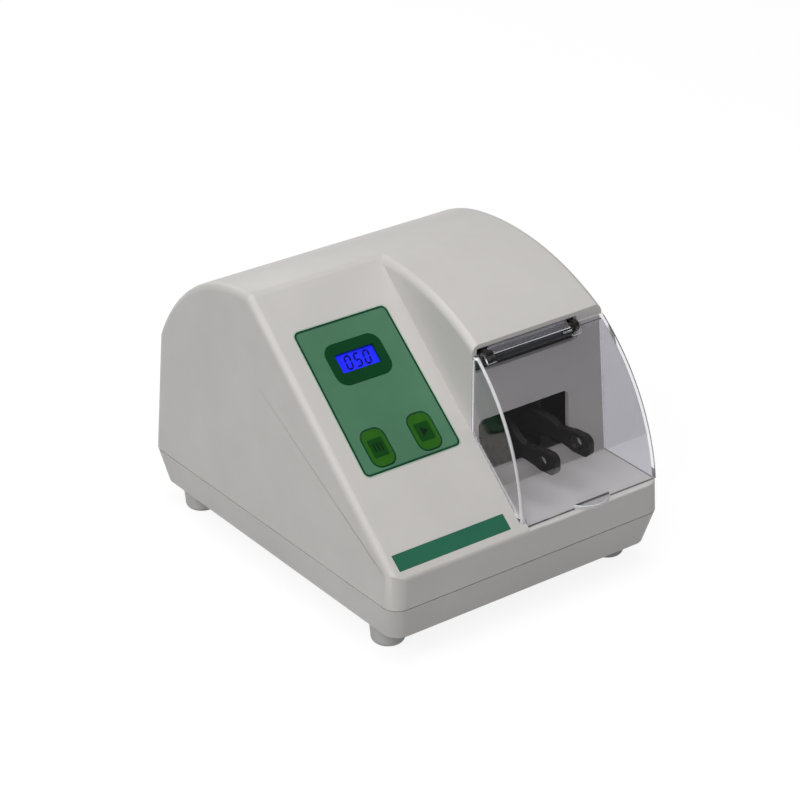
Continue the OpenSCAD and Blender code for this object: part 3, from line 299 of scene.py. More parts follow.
def buildGrainGroup():
    # fine spark texture of a moulding, with broad patches that vary its sheen
    group, start, end, where = newGroup("mouldedGrain", {"Fineness": 2600.0}, ("Height", "Patches"))
    fine = addNoise(group, where, start["Fineness"], 2.0)
    pitScale = addMath(group, "MULTIPLY", start["Fineness"], 0.6)
    pits = feed(group, addNode(group, "TexVoronoi"), {"Vector": where, "Scale": pitScale})
    pitHeight = addMath(group, "MULTIPLY", pits.outputs["Distance"], 0.6)
    broad = addNoise(group, where, 28.0, 4.0, 0.6)
    height = addMath(group, "ADD", fine, pitHeight)
    feed(group, end, {"Height": height, "Patches": addRange(group, broad, 0.3, 0.7)})
    return group


def buildWearAndHighlightGroup():
    # a mask along outer edges, broken up by noise, that lightens them partly as rubbed wear and partly as a
    # painted edge highlight
    group, start, end, where = newGroup("edgeWearAndHighlight", {"Width": 0.0006, "Reach": 1.0}, ("Mask",))
    soft = feed(group, addNode(group, "Bevel", samples=4), {"Radius": start["Width"]})
    dot = addNode(group, "VectorMath", operation="DOT_PRODUCT")
    feed(group, dot, {0: soft.outputs["Normal"], 1: addNode(group, "NewGeometry").outputs["Normal"]})
    edge = addRange(group, dot.outputs["Value"], 0.999, 0.93)
    broken = addRange(group, addNoise(group, where, 240.0, 5.0, 0.65), 0.35, 0.65)
    mask = addMath(group, "MULTIPLY", edge, broken)
    feed(group, end, {"Mask": addMath(group, "MULTIPLY", mask, start["Reach"])})
    return group


def buildBrushGroup():
    # long fine lines along one direction, as turning or brushing leaves them
    group, start, end, where = newGroup("brushedLines", {"Stretch": (1.0, 1.0, 1.0)}, ("Height", "Streaks"))
    stretch = feed(group, addNode(group, "VectorMath", operation="MULTIPLY"), {0: where, 1: start["Stretch"]})
    lines = addNoise(group, stretch.outputs[0], 900.0, 4.0, 0.7)
    streaks = addNoise(group, stretch.outputs[0], 160.0, 3.0, 0.6)
    feed(group, end, {"Height": lines, "Streaks": addRange(group, streaks, 0.3, 0.7)})
    return group


def buildWindingGroup():
    # round wires laid side by side along X
    group, start, end, where = newGroup("woundWire", {"Turns": 1400.0}, ("Height", "Shade"))
    wave = addNode(group, "TexWave", wave_type="BANDS", bands_direction="X", wave_profile="SIN")
    feed(group, wave, {"Vector": where, "Scale": start["Turns"], "Distortion": 1.2})
    feed(group, end, {"Height": wave.outputs["Fac"], "Shade": addNoise(group, where, 420.0, 2.0)})
    return group


def buildTrackGroup():
    # conductor tracks under the varnish of a circuit board
    group, start, end, where = newGroup("boardTracks", {"Pitch": 420.0}, ("Mask",))
    cells = addNode(group, "TexVoronoi", distance="MANHATTAN", feature="F1")
    feed(group, cells, {"Vector": where, "Scale": start["Pitch"]})
    band = addMath(group, "PINGPONG", cells.outputs["Distance"], 0.22)
    feed(group, end, {"Mask": addRange(group, band, 0.10, 0.13)})
    return group


grainGroup = buildGrainGroup()
wearAndHighlightGroup = buildWearAndHighlightGroup()
brushGroup = buildBrushGroup()
windingGroup = buildWindingGroup()
trackGroup = buildTrackGroup()
print("shader groups built")


def startMaterial(name):
    material = bpy.data.materials.new(name)
    material.use_nodes = True
    return material, material.node_tree, material.node_tree.nodes["Principled BSDF"]


def useGroup(tree, group, **values):
    made = tree.nodes.new("ShaderNodeGroup")
    made.node_tree = group
    return feed(tree, made, values).outputs


def mixColors(tree, factor, first, second):
    return feed(tree, addNode(tree, "Mix", data_type="RGBA"), {0: factor, 6: first, 7: second}).outputs[2]


def mixShaders(tree, factor, first, second, target):
    mix = feed(tree, addNode(tree, "MixShader"), {0: factor, 1: first, 2: second})
    feed(tree, tree.nodes[target], {"Surface": mix.outputs["Shader"]})


def addBump(tree, shader, height, strength, depth):
    bump = feed(tree, addNode(tree, "Bump"), {"Strength": strength, "Distance": depth * mm, "Height": height})
    feed(tree, shader, {"Normal": bump.outputs["Normal"]})


def tonesOf(look):
    return (tone(*values) for values in look["tones"])


def rubbedAndLitEdgeColor(tree, look, patches, width):
    # the main tone with patches of the second, and the third along edges, as rubbed wear and in part a painted
    # edge highlight
    main, patch, rubbedAndLit = tonesOf(look)
    wearAndHighlight = useGroup(tree, wearAndHighlightGroup, Width=width * mm, Reach=look.get("edge", 0.5))
    return mixColors(tree, wearAndHighlight["Mask"], mixColors(tree, patches, main, patch), rubbedAndLit)


def dress(tree, shader, color, patches, roughness, height, bump, depth):
    feed(tree, shader, {"Base Color": color, "Roughness": addRange(tree, patches, 0, 1, *roughness)})
    addBump(tree, shader, height, bump, depth)


def mouldedPlastic(name, look):
    # fine grain, broad variation in tone and sheen, edges lighter by rubbed wear and in part by a painted
    # highlight
    material, tree, shader = startMaterial(name)
    grain = useGroup(tree, grainGroup, Fineness=look.get("fineness", 2600.0))
    color = rubbedAndLitEdgeColor(tree, look, grain["Patches"], 0.6)
    shader.inputs["Specular IOR Level"].default_value = look.get("sheen", 0.5)
    dress(tree, shader, color, grain["Patches"], look["roughness"], grain["Height"], look["bump"],
          look.get("depth", 0.05))
    return material


def brushedMetal(name, look):
    material, tree, shader = startMaterial(name)
    brush = useGroup(tree, brushGroup, Stretch=look.get("stretch", (0.06, 1.0, 1.0)))
    shader.inputs["Metallic"].default_value = 1.0
    dress(tree, shader, rubbedAndLitEdgeColor(tree, look, brush["Streaks"], 0.4), brush["Streaks"], look["roughness"],
          brush["Height"], 0.08, 0.03)
    return material


def windingMaterial(name, look):
    material, tree, shader = startMaterial(name)
    wire = useGroup(tree, windingGroup, Turns=look["turns"])
    main, patch, grooveShade = tonesOf(look)
    varied = mixColors(tree, wire["Shade"], main, patch)
    # darkest in the troughs between turns: painted shade between the wires
    grooveShaded = mixColors(tree, addRange(tree, wire["Height"], 0.0, 0.35), grooveShade, varied)
    roughness = addRange(tree, wire["Shade"], 0.3, 0.7, 0.28, 0.42)
    feed(tree, shader, {"Base Color": grooveShaded, "Metallic": 0.9, "Roughness": roughness})
    addBump(tree, shader, wire["Height"], 0.6, 0.2)
    return material


def boardMaterial(name, look):
    material, tree, shader = startMaterial(name)
    tracks = useGroup(tree, trackGroup, Pitch=look["pitch"])
    grain = useGroup(tree, grainGroup, Fineness=900.0)
    main, patch, track = tonesOf(look)
    color = mixColors(tree, tracks["Mask"], mixColors(tree, grain["Patches"], main, patch), track)
    dress(tree, shader, color, grain["Patches"], (0.3, 0.42), tracks["Mask"], 0.25, 0.05)
    return material


def displayMaterial(name, look):
    # lit liquid crystal panel with a fine pixel texture
    material, tree, shader = startMaterial(name)
    grain = useGroup(tree, grainGroup, Fineness=look["fineness"])
    glow = mixColors(tree, grain["Patches"], *tonesOf(look))
    feed(tree, shader, {"Emission Color": glow, "Emission Strength": look["glow"]})
    dress(tree, shader, glow, grain["Patches"], (0.16, 0.24), grain["Height"], 0.05, 0.02)
    return material


def clearPlastic(name, look):
    # polished acrylic: shadow and diffuse rays pass, so that the chamber behind it stays lit,
    # and so does light that has turned inside an edge a few times
    material, tree, shader = startMaterial(name)
    where = addNode(tree, "TexCoord").outputs["Object"]
    smears = addRange(tree, addNoise(tree, where, 35.0, 5.0, 0.6), 0.45, 0.75, *look["roughness"])
    feed(tree, shader, {"Base Color": tone(*look["color"]), "IOR": 1.49, "Roughness": smears,
                        "Transmission Weight": look.get("clarity", 1.0)})
    addBump(tree, shader, addNoise(tree, where, 14.0, 1.0), 0.04, 0.4)
    through = feed(tree, addNode(tree, "BsdfTransparent"), {"Color": tone(*look["shadow"])})
    rays = addNode(tree, "LightPath").outputs
    passes = addMath(tree, "MAXIMUM", rays["Is Shadow Ray"], rays["Is Diffuse Ray"])
    trapped = addMath(tree, "GREATER_THAN", rays["Glossy Depth"], look["turns"] - 0.5)
    mixShaders(tree, addMath(tree, "MAXIMUM", passes, trapped), shader.outputs["BSDF"], through.outputs["BSDF"],
               "Material Output")
    return material


# Tones are the main one, that of patches, and that of edges (rubbed wear and in part a painted edge highlight),
# of grooves (painted shade) or of tracks
printLook = {"roughness": (0.3, 0.38), "fineness": 3600.0, "bump": 0.10, "sheen": 0.22, "edge": 0.2}
plasticLooks = {
    # on the case the lighter edge tone is a painted edge highlight
    "caseWhite": {"tones": ((214, 211, 208), (209, 206, 203), (224, 222, 219)), "roughness": (0.34, 0.42),
        "bump": 0.10, "depth": 0.04, "edge": 0.35},
    "footGrey": {"tones": ((206, 206, 204), (196, 196, 194), (220, 220, 218)), "roughness": (0.5, 0.62),
        "fineness": 1800.0, "bump": 0.2, "edge": 0.5},
    "labelGreen": {"tones": ((84, 132, 103), (76, 122, 94), (96, 142, 114)), **printLook},
    "labelPale": {"tones": ((186, 208, 190), (178, 200, 182), (200, 218, 202)), **printLook},
    "labelDark": {"tones": ((8, 66, 40), (6, 58, 35), (14, 78, 50)), **printLook},
    "bezelGreen": {"tones": ((4, 70, 32), (4, 62, 28), (12, 84, 44)), "roughness": (0.26, 0.34),
        "fineness": 3600.0, "bump": 0.08, "sheen": 0.22, "edge": 0.2},
    "keyGreen": {"tones": ((47, 106, 25), (42, 96, 23), (60, 120, 36)), "roughness": (0.3, 0.38),
        "fineness": 3200.0, "bump": 0.10, "sheen": 0.22, "edge": 0.2},
    "keyPad": {"tones": ((18, 76, 22), (14, 66, 18), (28, 88, 32)), "roughness": (0.28, 0.36),
        "fineness": 3200.0, "bump": 0.08, "sheen": 0.22, "edge": 0.2},
    "keyMark": {"tones": ((10, 36, 14), (8, 30, 12), (14, 44, 18)), "roughness": (0.3, 0.38), "bump": 0.05,
        "sheen": 0.22, "edge": 0.1},
    "stripTeal": {"tones": ((48, 114, 90), (42, 104, 82), (60, 126, 102)), "roughness": (0.34, 0.42),
        "fineness": 3600.0, "bump": 0.08, "sheen": 0.22, "edge": 0.2},
    "blackPlastic": {"tones": ((34, 32, 31), (28, 26, 25), (62, 60, 58)), "roughness": (0.32, 0.44),
        "bump": 0.16, "edge": 0.5},
    "armBlack": {"tones": ((27, 24, 22), (21, 19, 17), (58, 55, 52)), "roughness": (0.36, 0.5),
        "fineness": 1900.0, "bump": 0.2, "sheen": 0.3, "edge": 0.7},
    # inside faces of the housing: near-black painted shade
    "insideShadeDark": {"tones": ((22, 21, 20), (17, 16, 15), (30, 29, 28)), "roughness": (0.55, 0.7),
        "fineness": 1300.0, "bump": 0.25, "sheen": 0.15, "edge": 0.1},
    "hubGrey": {"tones": ((198, 197, 194), (184, 183, 180), (214, 213, 211)), "roughness": (0.4, 0.52),
        "fineness": 1500.0, "bump": 0.2, "edge": 0.6},
    "rockerRed": {"tones": ((170, 28, 26), (156, 24, 22), (190, 52, 48)), "roughness": (0.22, 0.3),
        "bump": 0.05, "edge": 0.4},
    "relayBlue": {"tones": ((36, 74, 122), (32, 66, 110), (60, 98, 146)), "roughness": (0.3, 0.4), "bump": 0.08,
        "edge": 0.5},
    "sleeveDark": {"tones": ((34, 38, 58), (28, 32, 50), (56, 60, 84)), "roughness": (0.24, 0.34), "bump": 0.05,
        "edge": 0.4},
    "nylonWhite": {"tones": ((218, 216, 206), (208, 205, 194), (232, 230, 222)), "roughness": (0.4, 0.5),
        "fineness": 1600.0, "bump": 0.12, "edge": 0.4},
    "rubberBlack": {"tones": ((38, 37, 36), (30, 29, 29), (66, 64, 62)), "roughness": (0.62, 0.78),
        "fineness": 1400.0, "bump": 0.3, "edge": 0.6},
    "carbon": {"tones": ((40, 40, 42), (32, 32, 34), (80, 80, 84)), "roughness": (0.4, 0.52), "bump": 0.2,
        "edge": 0.7},
    "ribbonGrey": {"tones": ((160, 160, 164), (146, 146, 152), (180, 180, 184)), "roughness": (0.4, 0.5),
        "fineness": 1100.0, "bump": 0.25, "edge": 0.3},
}
metalLooks = {
    "steel": {"tones": ((190, 191, 194), (168, 169, 172), (220, 221, 224)), "roughness": (0.24, 0.36)},
    "plateSteel": {"tones": ((176, 178, 180), (148, 151, 156), (206, 208, 210)), "roughness": (0.34, 0.5),
        "stretch": (0.2, 1.0, 1.0)},
    "hubAlloy": {"tones": ((172, 173, 175), (150, 151, 154), (204, 205, 207)), "roughness": (0.36, 0.48),
        "stretch": (1.0, 0.3, 0.3)},
    "coreIron": {"tones": ((112, 112, 116), (82, 82, 88), (150, 150, 154)), "roughness": (0.42, 0.58),
        "stretch": (1.0, 0.1, 0.1)},
    "brass": {"tones": ((190, 150, 84), (168, 128, 66), (214, 178, 112)), "roughness": (0.26, 0.38)},
}
windingLooks = {
    # third tone: painted shade in the grooves between turns
    "copper": {"tones": ((186, 104, 58), (158, 82, 44), (70, 32, 16)), "turns": 520.0},
}
boardLooks = {
    "board": {"tones": ((18, 84, 52), (14, 72, 44), (44, 122, 78)), "pitch": 260.0},
}
displayLooks = {
    "displayBlue": {"tones": ((34, 48, 246), (22, 30, 226)), "fineness": 4200.0, "glow": 0.55},
    "displayMark": {"tones": ((6, 6, 96), (8, 8, 108)), "fineness": 4200.0, "glow": 0.05},
}
clearLooks = {
    "clear": {"color": (232, 232, 236), "shadow": (250, 250, 251), "roughness": (0.0, 0.05), "turns": 2},
    # a darker copy of the clear finish for the right pane: painted shade
    "clearShadedSide": {"color": (166, 164, 169), "shadow": (250, 250, 251), "roughness": (0.0, 0.05), "turns": 2},
    # a bright copy of the clear finish for the left rims and the tab rim: painted highlight
    "clearLitRim": {"color": (250, 250, 252), "shadow": (240, 240, 242), "roughness": (0.1, 0.2), "clarity": 0.35,
        "turns": 1},
    # a dark copy of the clear finish, its rays through tinted darker too, for the bottom face and right rims:
    # painted shade
    "clearShadedRim": {"color": (96, 96, 100), "shadow": (200, 200, 204), "roughness": (0.1, 0.2), "clarity": 0.6,
        "turns": 1},
    # a darker copy of the clear finish for the hinge knuckle: painted shade
    "clearShadedHinge": {"color": (150, 150, 156), "shadow": (170, 170, 176), "roughness": (0.12, 0.22),
        "clarity": 0.7, "turns": 1},
}
looksByMaker = {
    mouldedPlastic: plasticLooks, brushedMetal: metalLooks, windingMaterial: windingLooks,
    boardMaterial: boardLooks, displayMaterial: displayLooks, clearPlastic: clearLooks,
}
finishes = {name: make(name, look) for make, looks in looksByMaker.items() for name, look in looks.items()}
print("materials built:", len(finishes))

nodeFinish = {
    "caseWhite": ["upper_housing", "lower_tray"],
    "footGrey": ["feet"],
    "steel": ["foot_screws", "case_screws", "board_screws", "inlet_pins", "inlet_screws", "hinge_pin",
              "chassis_screws", "motor_shaft", "outboard_outer_race", "outboard_inner_race",
              "hub_inner_race", "hub_outer_race", "hub_balls", "arm_screws", "cover_magnet",
              "balance_weights"],
    "plateSteel": ["motor_plate", "motor_bracket", "outboard_bracket", "motor_can"],
    "hubAlloy": ["skew_hub", "motor_end_caps"],
    "hubGrey": ["arm_hub"],
    "coreIron": ["transformer_core", "armature_core", "motor_magnets"],
    "brass": ["motor_bushes", "brush_holders", "commutator"],
    "copper": ["transformer_winding", "armature_winding"],
    "board": ["display_board", "main_board", "lid_sensor"],
    "nylonWhite": ["torque_guide"],
    "rubberBlack": ["isolators"],
    "carbon": ["brushes"],
    "relayBlue": ["relay"],
    "sleeveDark": ["capacitors"],
    "ribbonGrey": ["display_ribbon"],
    "blackPlastic": ["hinge_bracket", "power_inlet", "rocker_bezel", "fuse_drawer", "tact_switches", "fan",
                     "hinge_washers"],
    "armBlack": ["fork_arm_left", "fork_arm_right"],
    "rockerRed": ["power_rocker"],
    "labelGreen": ["panel_overlay"],
    "bezelGreen": ["lcd_bezel"],
    "displayBlue": ["lcd_module"],
    "stripTeal": ["strip_label"],
    "keyGreen": ["set_key", "start_key"],
    "clear": ["clear_cover"],
}
finishOf = {nodeName: finish for finish, nodeNames in nodeFinish.items() for nodeName in nodeNames}
for nodeName, finish in finishOf.items():
    for materialSlot in nodes[nodeName].material_slots:
        materialSlot.material = finishes[finish]


# Case: side view outlines, drawn in by t

def crownArcs(t, frontLimit):
    # points from the rear plane over the crown to frontLimit
    s = caseShape
    centreZ = s["top"] - s["crownRadius"]
    joinZ = centreZ + math.sqrt(s["crownRadius"] ** 2 - s["crownJoin"] ** 2)
    share = s["rearRadius"] / s["crownRadius"]
    rearCentre = (s["crownY"] + s["crownJoin"] * (1 - share), joinZ - (joinZ - centreZ) * share)
    radius = s["rearRadius"] - t
    joinAngle = math.acos(s["crownJoin"] / s["crownRadius"])
    steps = 34
    points = []
    for k in range(steps + 1):
        angle = math.radians(4) + (joinAngle - math.radians(4)) * k / steps
        y = rearCentre[0] + radius * math.cos(angle)
        z = rearCentre[1] + radius * math.sin(angle)
        if y < rearY(z) - t:
            points.append((y, z))
    first = points[0]
    points.insert(0, (rearY(first[1] - 2.0) - t, first[1] - 2.0))
    radius = s["crownRadius"] - t
    endAngle = math.acos((frontLimit - s["crownY"]) / radius)
    steps = max(4, int((endAngle - joinAngle) / math.radians(1.6)))
    for k in range(1, steps + 1):
        angle = joinAngle + (endAngle - joinAngle) * k / steps
        points.append((s["crownY"] + radius * math.cos(angle), centreZ + radius * math.sin(angle)))
    return points


def ridgeY(t):
    # where the slope meets the crown, by halving
    s = caseShape
    centreZ = s["top"] - s["crownRadius"]
    low, high = s["crownY"] - 30, s["crownY"] + 30
    for _ in range(40):
        y = (low + high) / 2
        crown = centreZ + math.sqrt((s["crownRadius"] - t) ** 2 - (y - s["crownY"]) ** 2)
        if slopeZ(y, t) < crown:
            low = y
        else:
            high = y
    return low


def slopeZ(y, t):
    along = math.tan(slopeAngle)
    foot = caseShape["frontEdge"] - t * math.cos(slopeAngle)
    return foot + (y - frontEdgeY - t * math.sin(slopeAngle)) * along


caseBottom = caseShape["seam"] + caseShape["seamGap"] / 2
belowBottom = caseBottom - 12


def consoleOutline(t):
    ridge = ridgeY(t)
    frontTopY = frontEdgeY + t
    frontTopZ = slopeZ(frontTopY, t)
    return [(frontY(belowBottom) + t, belowBottom), (rearY(belowBottom) - t, belowBottom)] + \
        crownArcs(t, ridge) + [(frontTopY, frontTopZ)]


def hoodOutline(t):
    front = caseShape["chamberY"] - 14
    return [(front, belowBottom), (rearY(belowBottom) - t, belowBottom)] + crownArcs(t, front)


def draftedBlock(t, z0, z1, grow):
    s = caseShape
    radius = s["cornerRadius"] - t
    turns = 12
    points = []
    for cornerX, cornerY, first in ((1, 1, 0), (-1, 1, 90), (-1, -1, 180), (1, -1, 270)):
        y = (rearY(z0) if cornerY > 0 else -frontY(z0)) - t + grow - radius
        x = sideX(z0) - t + grow - radius
        for k in range(turns + 1):
            angle = math.radians(first + 90 * k / turns)
            points.append((cornerX * x + radius * math.cos(angle), cornerY * y + radius * math.sin(angle), z0))
    bm = extrudeOutline(points, (0, 0, z1 - z0))
    for v in bm.verts:
        if v.co.z > z0 + 0.1:
            v.co.x -= math.copysign((z1 - z0) * leanOf("sideLean"), v.co.x)
            v.co.y -= math.copysign((z1 - z0) * leanOf("rearLean" if v.co.y > 0 else "frontLean"), v.co.y)
    return bm


def leanSide(bm, side):
    for v in bm.verts:
        if side * v.co.x > 40:
            v.co.x -= side * (v.co.z - caseShape["seam"]) * leanOf("sideLean")


def caseForm(t):
    s = caseShape
    outer = t == 0
    bridgeX = 9
    console = prismAlongX(consoleOutline(t), -s["halfWidth"] + t, bridgeX)
    ridge = ridgeY(t)
    if outer:
        ridgeEdges = edgesNear(console, lambda c: abs(c.y - ridge) < 0.02 and c.z > s["top"] - 20)
        bevelEdges(console, ridgeEdges, s["ridgeRound"], 6)
        frontEdges = edgesNear(console, lambda c: abs(c.y - frontEdgeY) < 0.02
                               and abs(c.z - s["frontEdge"]) < 0.02)
        bevelEdges(console, frontEdges, s["frontRound"], 5)
        roundCap(console, -1, s["sideRound"])
    leanSide(console, -1)
    chamberFloor = s["frontEdge"] - t - 0.02
    chamber = prismAlongX([(-150, chamberFloor), (wallY(chamberFloor) + t, chamberFloor),
                           (wallY(220) + t, 220), (-150, 220)], s["chamberX"] - t, 30)
    console = combine(console, [chamber], "DIFFERENCE")
    if outer:
        rim = [e for e in edgesNear(console, lambda c: abs(c.x - s["chamberX"]) < 0.01
                                    and abs(slopeZ(c.y, 0) - c.z) < 0.03) if len(e.link_faces) == 2]
        bevelEdges(console, rim, s["chamberEdgeRound"], 3)
    hood = prismAlongX(hoodOutline(t), hoodLeftX(s["seam"]) + t, s["halfWidth"] - t)
    if outer:
        roundCap(hood, -1, s["sideRound"])
        roundCap(hood, 1, s["sideRound"])
    leanSide(hood, 1)
    for v in hood.verts:
        if v.co.x < 40:
            v.co.x += (v.co.z - s["seam"]) * leanOf("sideLean")
    wallNormal = Vector((0, -1, leanOf("wallLean"))).normalized()
    cutEdges = cutAway(hood, (0, wallY(100) + t, 100), wallNormal)
    if outer:
        bevelEdges(hood, [e for e in cutEdges if e.is_valid], s["hoodRimRound"], 3)
    form = combine(console, [hood], "UNION")
    form = combine(form, [draftedBlock(t, caseBottom - (0 if outer else 8), s["top"] + 8, 0.02)], "INTERSECT")
    low = draftedBlock(t, caseBottom - (0 if outer else 8), s["frontEdge"] - t, -0.01)
    if outer:
        topRim = [e for e in edgesNear(low, lambda c: abs(c.z - s["frontEdge"]) < 0.01)]
        bevelEdges(low, topRim, s["rimRound"], 4)
    cutAway(low, (s["chamberX"] - t - 0.02, 0, 0), (-1, 0, 0))
    return combine(form, [low], "UNION")


windowShape = {"x": 33, "z": 79.3, "width": 60.8, "height": 32.5, "radius": 4}
slotShape = {"top": 137.5, "width": 69, "height": 14}
slotX0 = hoodLeftX(slotShape["top"]) + caseShape["wall"]
labelShape = {
    "width": 63.9, "length": 89.5, "start": 57.3, "gap": 11, "thickness": 0.6, "radius": 4,
    "rim": 0.4, "outline": 1.2,
    "bezelWidth": 36, "bezelLength": 25, "bezelRadius": 7, "bezelOverEdge": 64, "bezelFromRight": 32.1,
    "keyWidth": 15.2, "keyLength": 22.4, "keyRadius": 5.6, "keysFromRight": (47.8, 17.4), "keyOverEdge": 14.3,
    "slide": 0.3,
}
labelX1 = caseShape["chamberX"] - labelShape["gap"]
labelX0 = labelX1 - labelShape["width"]
labelS0 = labelShape["start"]
labelS1 = labelS0 + labelShape["length"]
labelLean = labelShape["length"] * math.sin(slopeAngle) * leanOf("sideLean")
bezelX = labelX1 - labelShape["bezelFromRight"]
bezelS = labelS0 + labelShape["bezelOverEdge"]
keySpots = [(labelX1 - x, labelS0 + labelShape["keyOverEdge"]) for x in labelShape["keysFromRight"]]
stripShape = {"x": -46.8, "s": 9.6, "width": 73, "length": 9.4}
stripX = caseShape["chamberX"] + stripShape["x"]


def slab(corners, radius, bottom, top, segments=8):
    # a flat plate with round corners in its own plane
    bm = bmesh.new()
    face = bm.faces.new([bm.verts.new((x, y, 0)) for x, y in corners])
    if radius > 0:
        bmesh.ops.bevel(bm, geom=list(face.verts), offset=radius, offset_type="OFFSET", segments=segments,
                        profile=0.5, affect="VERTICES", clamp_overlap=True, material=-1)
    bmesh.ops.translate(bm, verts=bm.verts, vec=(0, 0, bottom))
    raiseFace(bm, max(bm.faces, key=lambda f: f.calc_area()), (0, 0, top - bottom))
    return bm


def plate(corners, radius, bottom, top, place, edge=0.0, segments=8):
    bm = slab(corners, radius, bottom, top, segments)
    if edge:
        bevelEdges(bm, edgesNear(bm, lambda c: c.z > top - 0.001), edge, 2)
    bmesh.ops.transform(bm, matrix=place, verts=bm.verts)
    return bm


def rectangle(width, length, x=0, y=0):
    return [(x - width / 2, y - length / 2), (x + width / 2, y - length / 2),
            (x + width / 2, y + length / 2), (x - width / 2, y + length / 2)]


def labelCorners(grow):
    return [(labelX0 - grow, labelS0 - grow), (labelX1 + grow, labelS0 - grow),
            (labelX1 + grow, labelS1 + grow), (labelX0 + labelLean - grow, labelS1 + grow)]


def upright(x, z, y):
    # a local plane that faces the front, for cuts through upright walls
    return Matrix.Translation((x, y, z)) @ Matrix.Rotation(math.pi / 2, 4, "X")


def rearPlate(width, height, radius, depth, x, h, rise=2.0):
    place = onRear(x, h) @ Matrix.Rotation(math.pi / 2, 4, "X")
    return plate(rectangle(width, height), radius, -rise, depth, place)


rearShape = {
    "inletX": -48, "inletH": 32, "inletW": 30.2, "inletTall": 29.2,
    "rockerX": 10, "rockerH": 32, "rockerW": 15.2, "rockerTall": 21.6,
    "ventX": 56, "ventFirst": 16, "ventPitch": 6, "vents": 7, "ventWidth": 46, "ventTall": 2.4,
}


def caseCutters():
    w, r, wall = windowShape, rearShape, caseShape["wall"]
    chamberY = caseShape["chamberY"]
    cutters = [plate(rectangle(w["width"], w["height"]), w["radius"], -12, 6,
                     upright(w["x"], w["z"], chamberY))]
    slotX = slotX0 + slotShape["width"] / 2
    slotZ = slotShape["top"] - slotShape["height"] / 2
    cutters.append(plate(rectangle(slotShape["width"], slotShape["height"]), 0.8, -13, 4,
                         upright(slotX, slotZ, chamberY), segments=3))
    thick = labelShape["thickness"]
    slide = labelShape["slide"]
    cutters.append(plate(labelCorners(slide / 2), labelShape["radius"], -thick, 3, onSlope(0, 0)))
    cutters.append(plate(rectangle(stripShape["width"] + 0.2, stripShape["length"] + 0.2), 0, -0.3, 3,
                         onSlope(stripX, stripShape["s"])))
    bezel = rectangle(labelShape["bezelWidth"] + 0.1, labelShape["bezelLength"] + 0.1)
    cutters.append(plate(bezel, labelShape["bezelRadius"], -wall - 2, 0.2, onSlope(bezelX, bezelS)))
    key = rectangle(labelShape["keyWidth"] + 2 * slide, labelShape["keyLength"] + 2 * slide)
    for x, s in keySpots:
        cutters.append(plate(key, labelShape["keyRadius"] + slide, -wall - 2, 0.2, onSlope(x, s)))
    cutters.append(rearPlate(r["inletW"], r["inletTall"], 2, wall + 2, r["inletX"], r["inletH"]))
    cutters.append(rearPlate(r["rockerW"], r["rockerTall"], 0, wall + 2, r["rockerX"], r["rockerH"]))
    for k in range(r["vents"]):
        cutters.append(rearPlate(r["ventWidth"], r["ventTall"], r["ventTall"] / 2 - 0.01, wall + 2, r["ventX"],
                                 r["ventFirst"] + k * r["ventPitch"]))
    return cutters


insideShape = {
    "bossX": 80, "bossY": 104, "bossRadius": 4.5, "bossTop": 49.5, "screwHole": 1.55, "ribTop": 49.5,
    "ribHalf": 1, "lip": 4, "lipWall": 1.5, "postX": -43.3, "postS": 100.3, "postAcross": 29,
    "postAlong": 38, "postRadius": 3, "postLength": 6.6, "postHole": 1.3, "postHoleDepth": 5, "boardFace": -8.8,
}


def cornersOf(x, y):
    return [(sx * x, sy * y) for sx in (-1, 1) for sy in (-1, 1)]


def insideParts():
    i = insideShape
    solids, holes = [], []
    within = caseBottom - 4, caseShape["top"]
    for x, y in cornersOf(i["bossX"], i["bossY"]):
        place = Matrix.Translation((x, y, 0))
        boss = rod(place, caseShape["seam"], i["bossTop"], i["bossRadius"])
        ribEnds = sorted((x + math.copysign(3, x), math.copysign(caseShape["halfWidth"], x)))
        rib = box(*ribEnds, y - i["ribHalf"], y + i["ribHalf"], caseShape["seam"] + i["lip"] + 1, i["ribTop"])
        solids.append(combine(combine(boss, [rib], "UNION"), [draftedBlock(1, *within, 0)], "INTERSECT"))
        holes.append(rod(place, caseShape["seam"] - 1, i["bossTop"] - 2, i["screwHole"]))
    for x, along in cornersOf(i["postAcross"], i["postAlong"]):
        place = onSlope(i["postX"] + x, i["postS"] + along, i["boardFace"])
        solids.append(rod(place, 0, i["postLength"], i["postRadius"]))
        holes.append(rod(place, -1, i["postHoleDepth"], i["postHole"]))
    return solids, holes


def buildHousing():
    # the inside faces take the second material, a near-black painted shade for the dark inside of the closed
    # case
    lipTop = caseShape["seam"] + insideShape["lip"] + 0.2
    lip = draftedBlock(insideShape["lipWall"], caseBottom - 8, lipTop, 0)
    inner = combine(caseForm(caseShape["wall"]), [lip], "UNION")
    for face in inner.faces:
        face.material_index = 1
    solids, holes = insideParts()
    housing = combine(caseForm(0), [inner], "DIFFERENCE")
    housing = combine(housing, solids, "UNION")
    return combine(housing, caseCutters() + holes, "DIFFERENCE")


finishPiece(buildHousing(), "housing_shell", "case", ["caseWhite", "insideShadeDark"],
            ("upper_housing",))
print("housing made")

trayShape = {"bottomRound": 2.0}


def isTrayRim(edge):
    return all(v.co.z < (caseShape["footLine"] + 0.01) * mm
               and (abs(v.co.x) > 78 * mm or abs(v.co.y) > 100 * mm)
               and not (abs(abs(v.co.x) - 80 * mm) < 5 * mm and abs(abs(v.co.y) - 104 * mm) < 5 * mm)
               for v in edge.verts)


softenedCopy("lower_tray", "tray_shell", "case", "case_white", trayShape["bottomRound"], 4, isTrayRim)
print("tray made")


# Clear cover

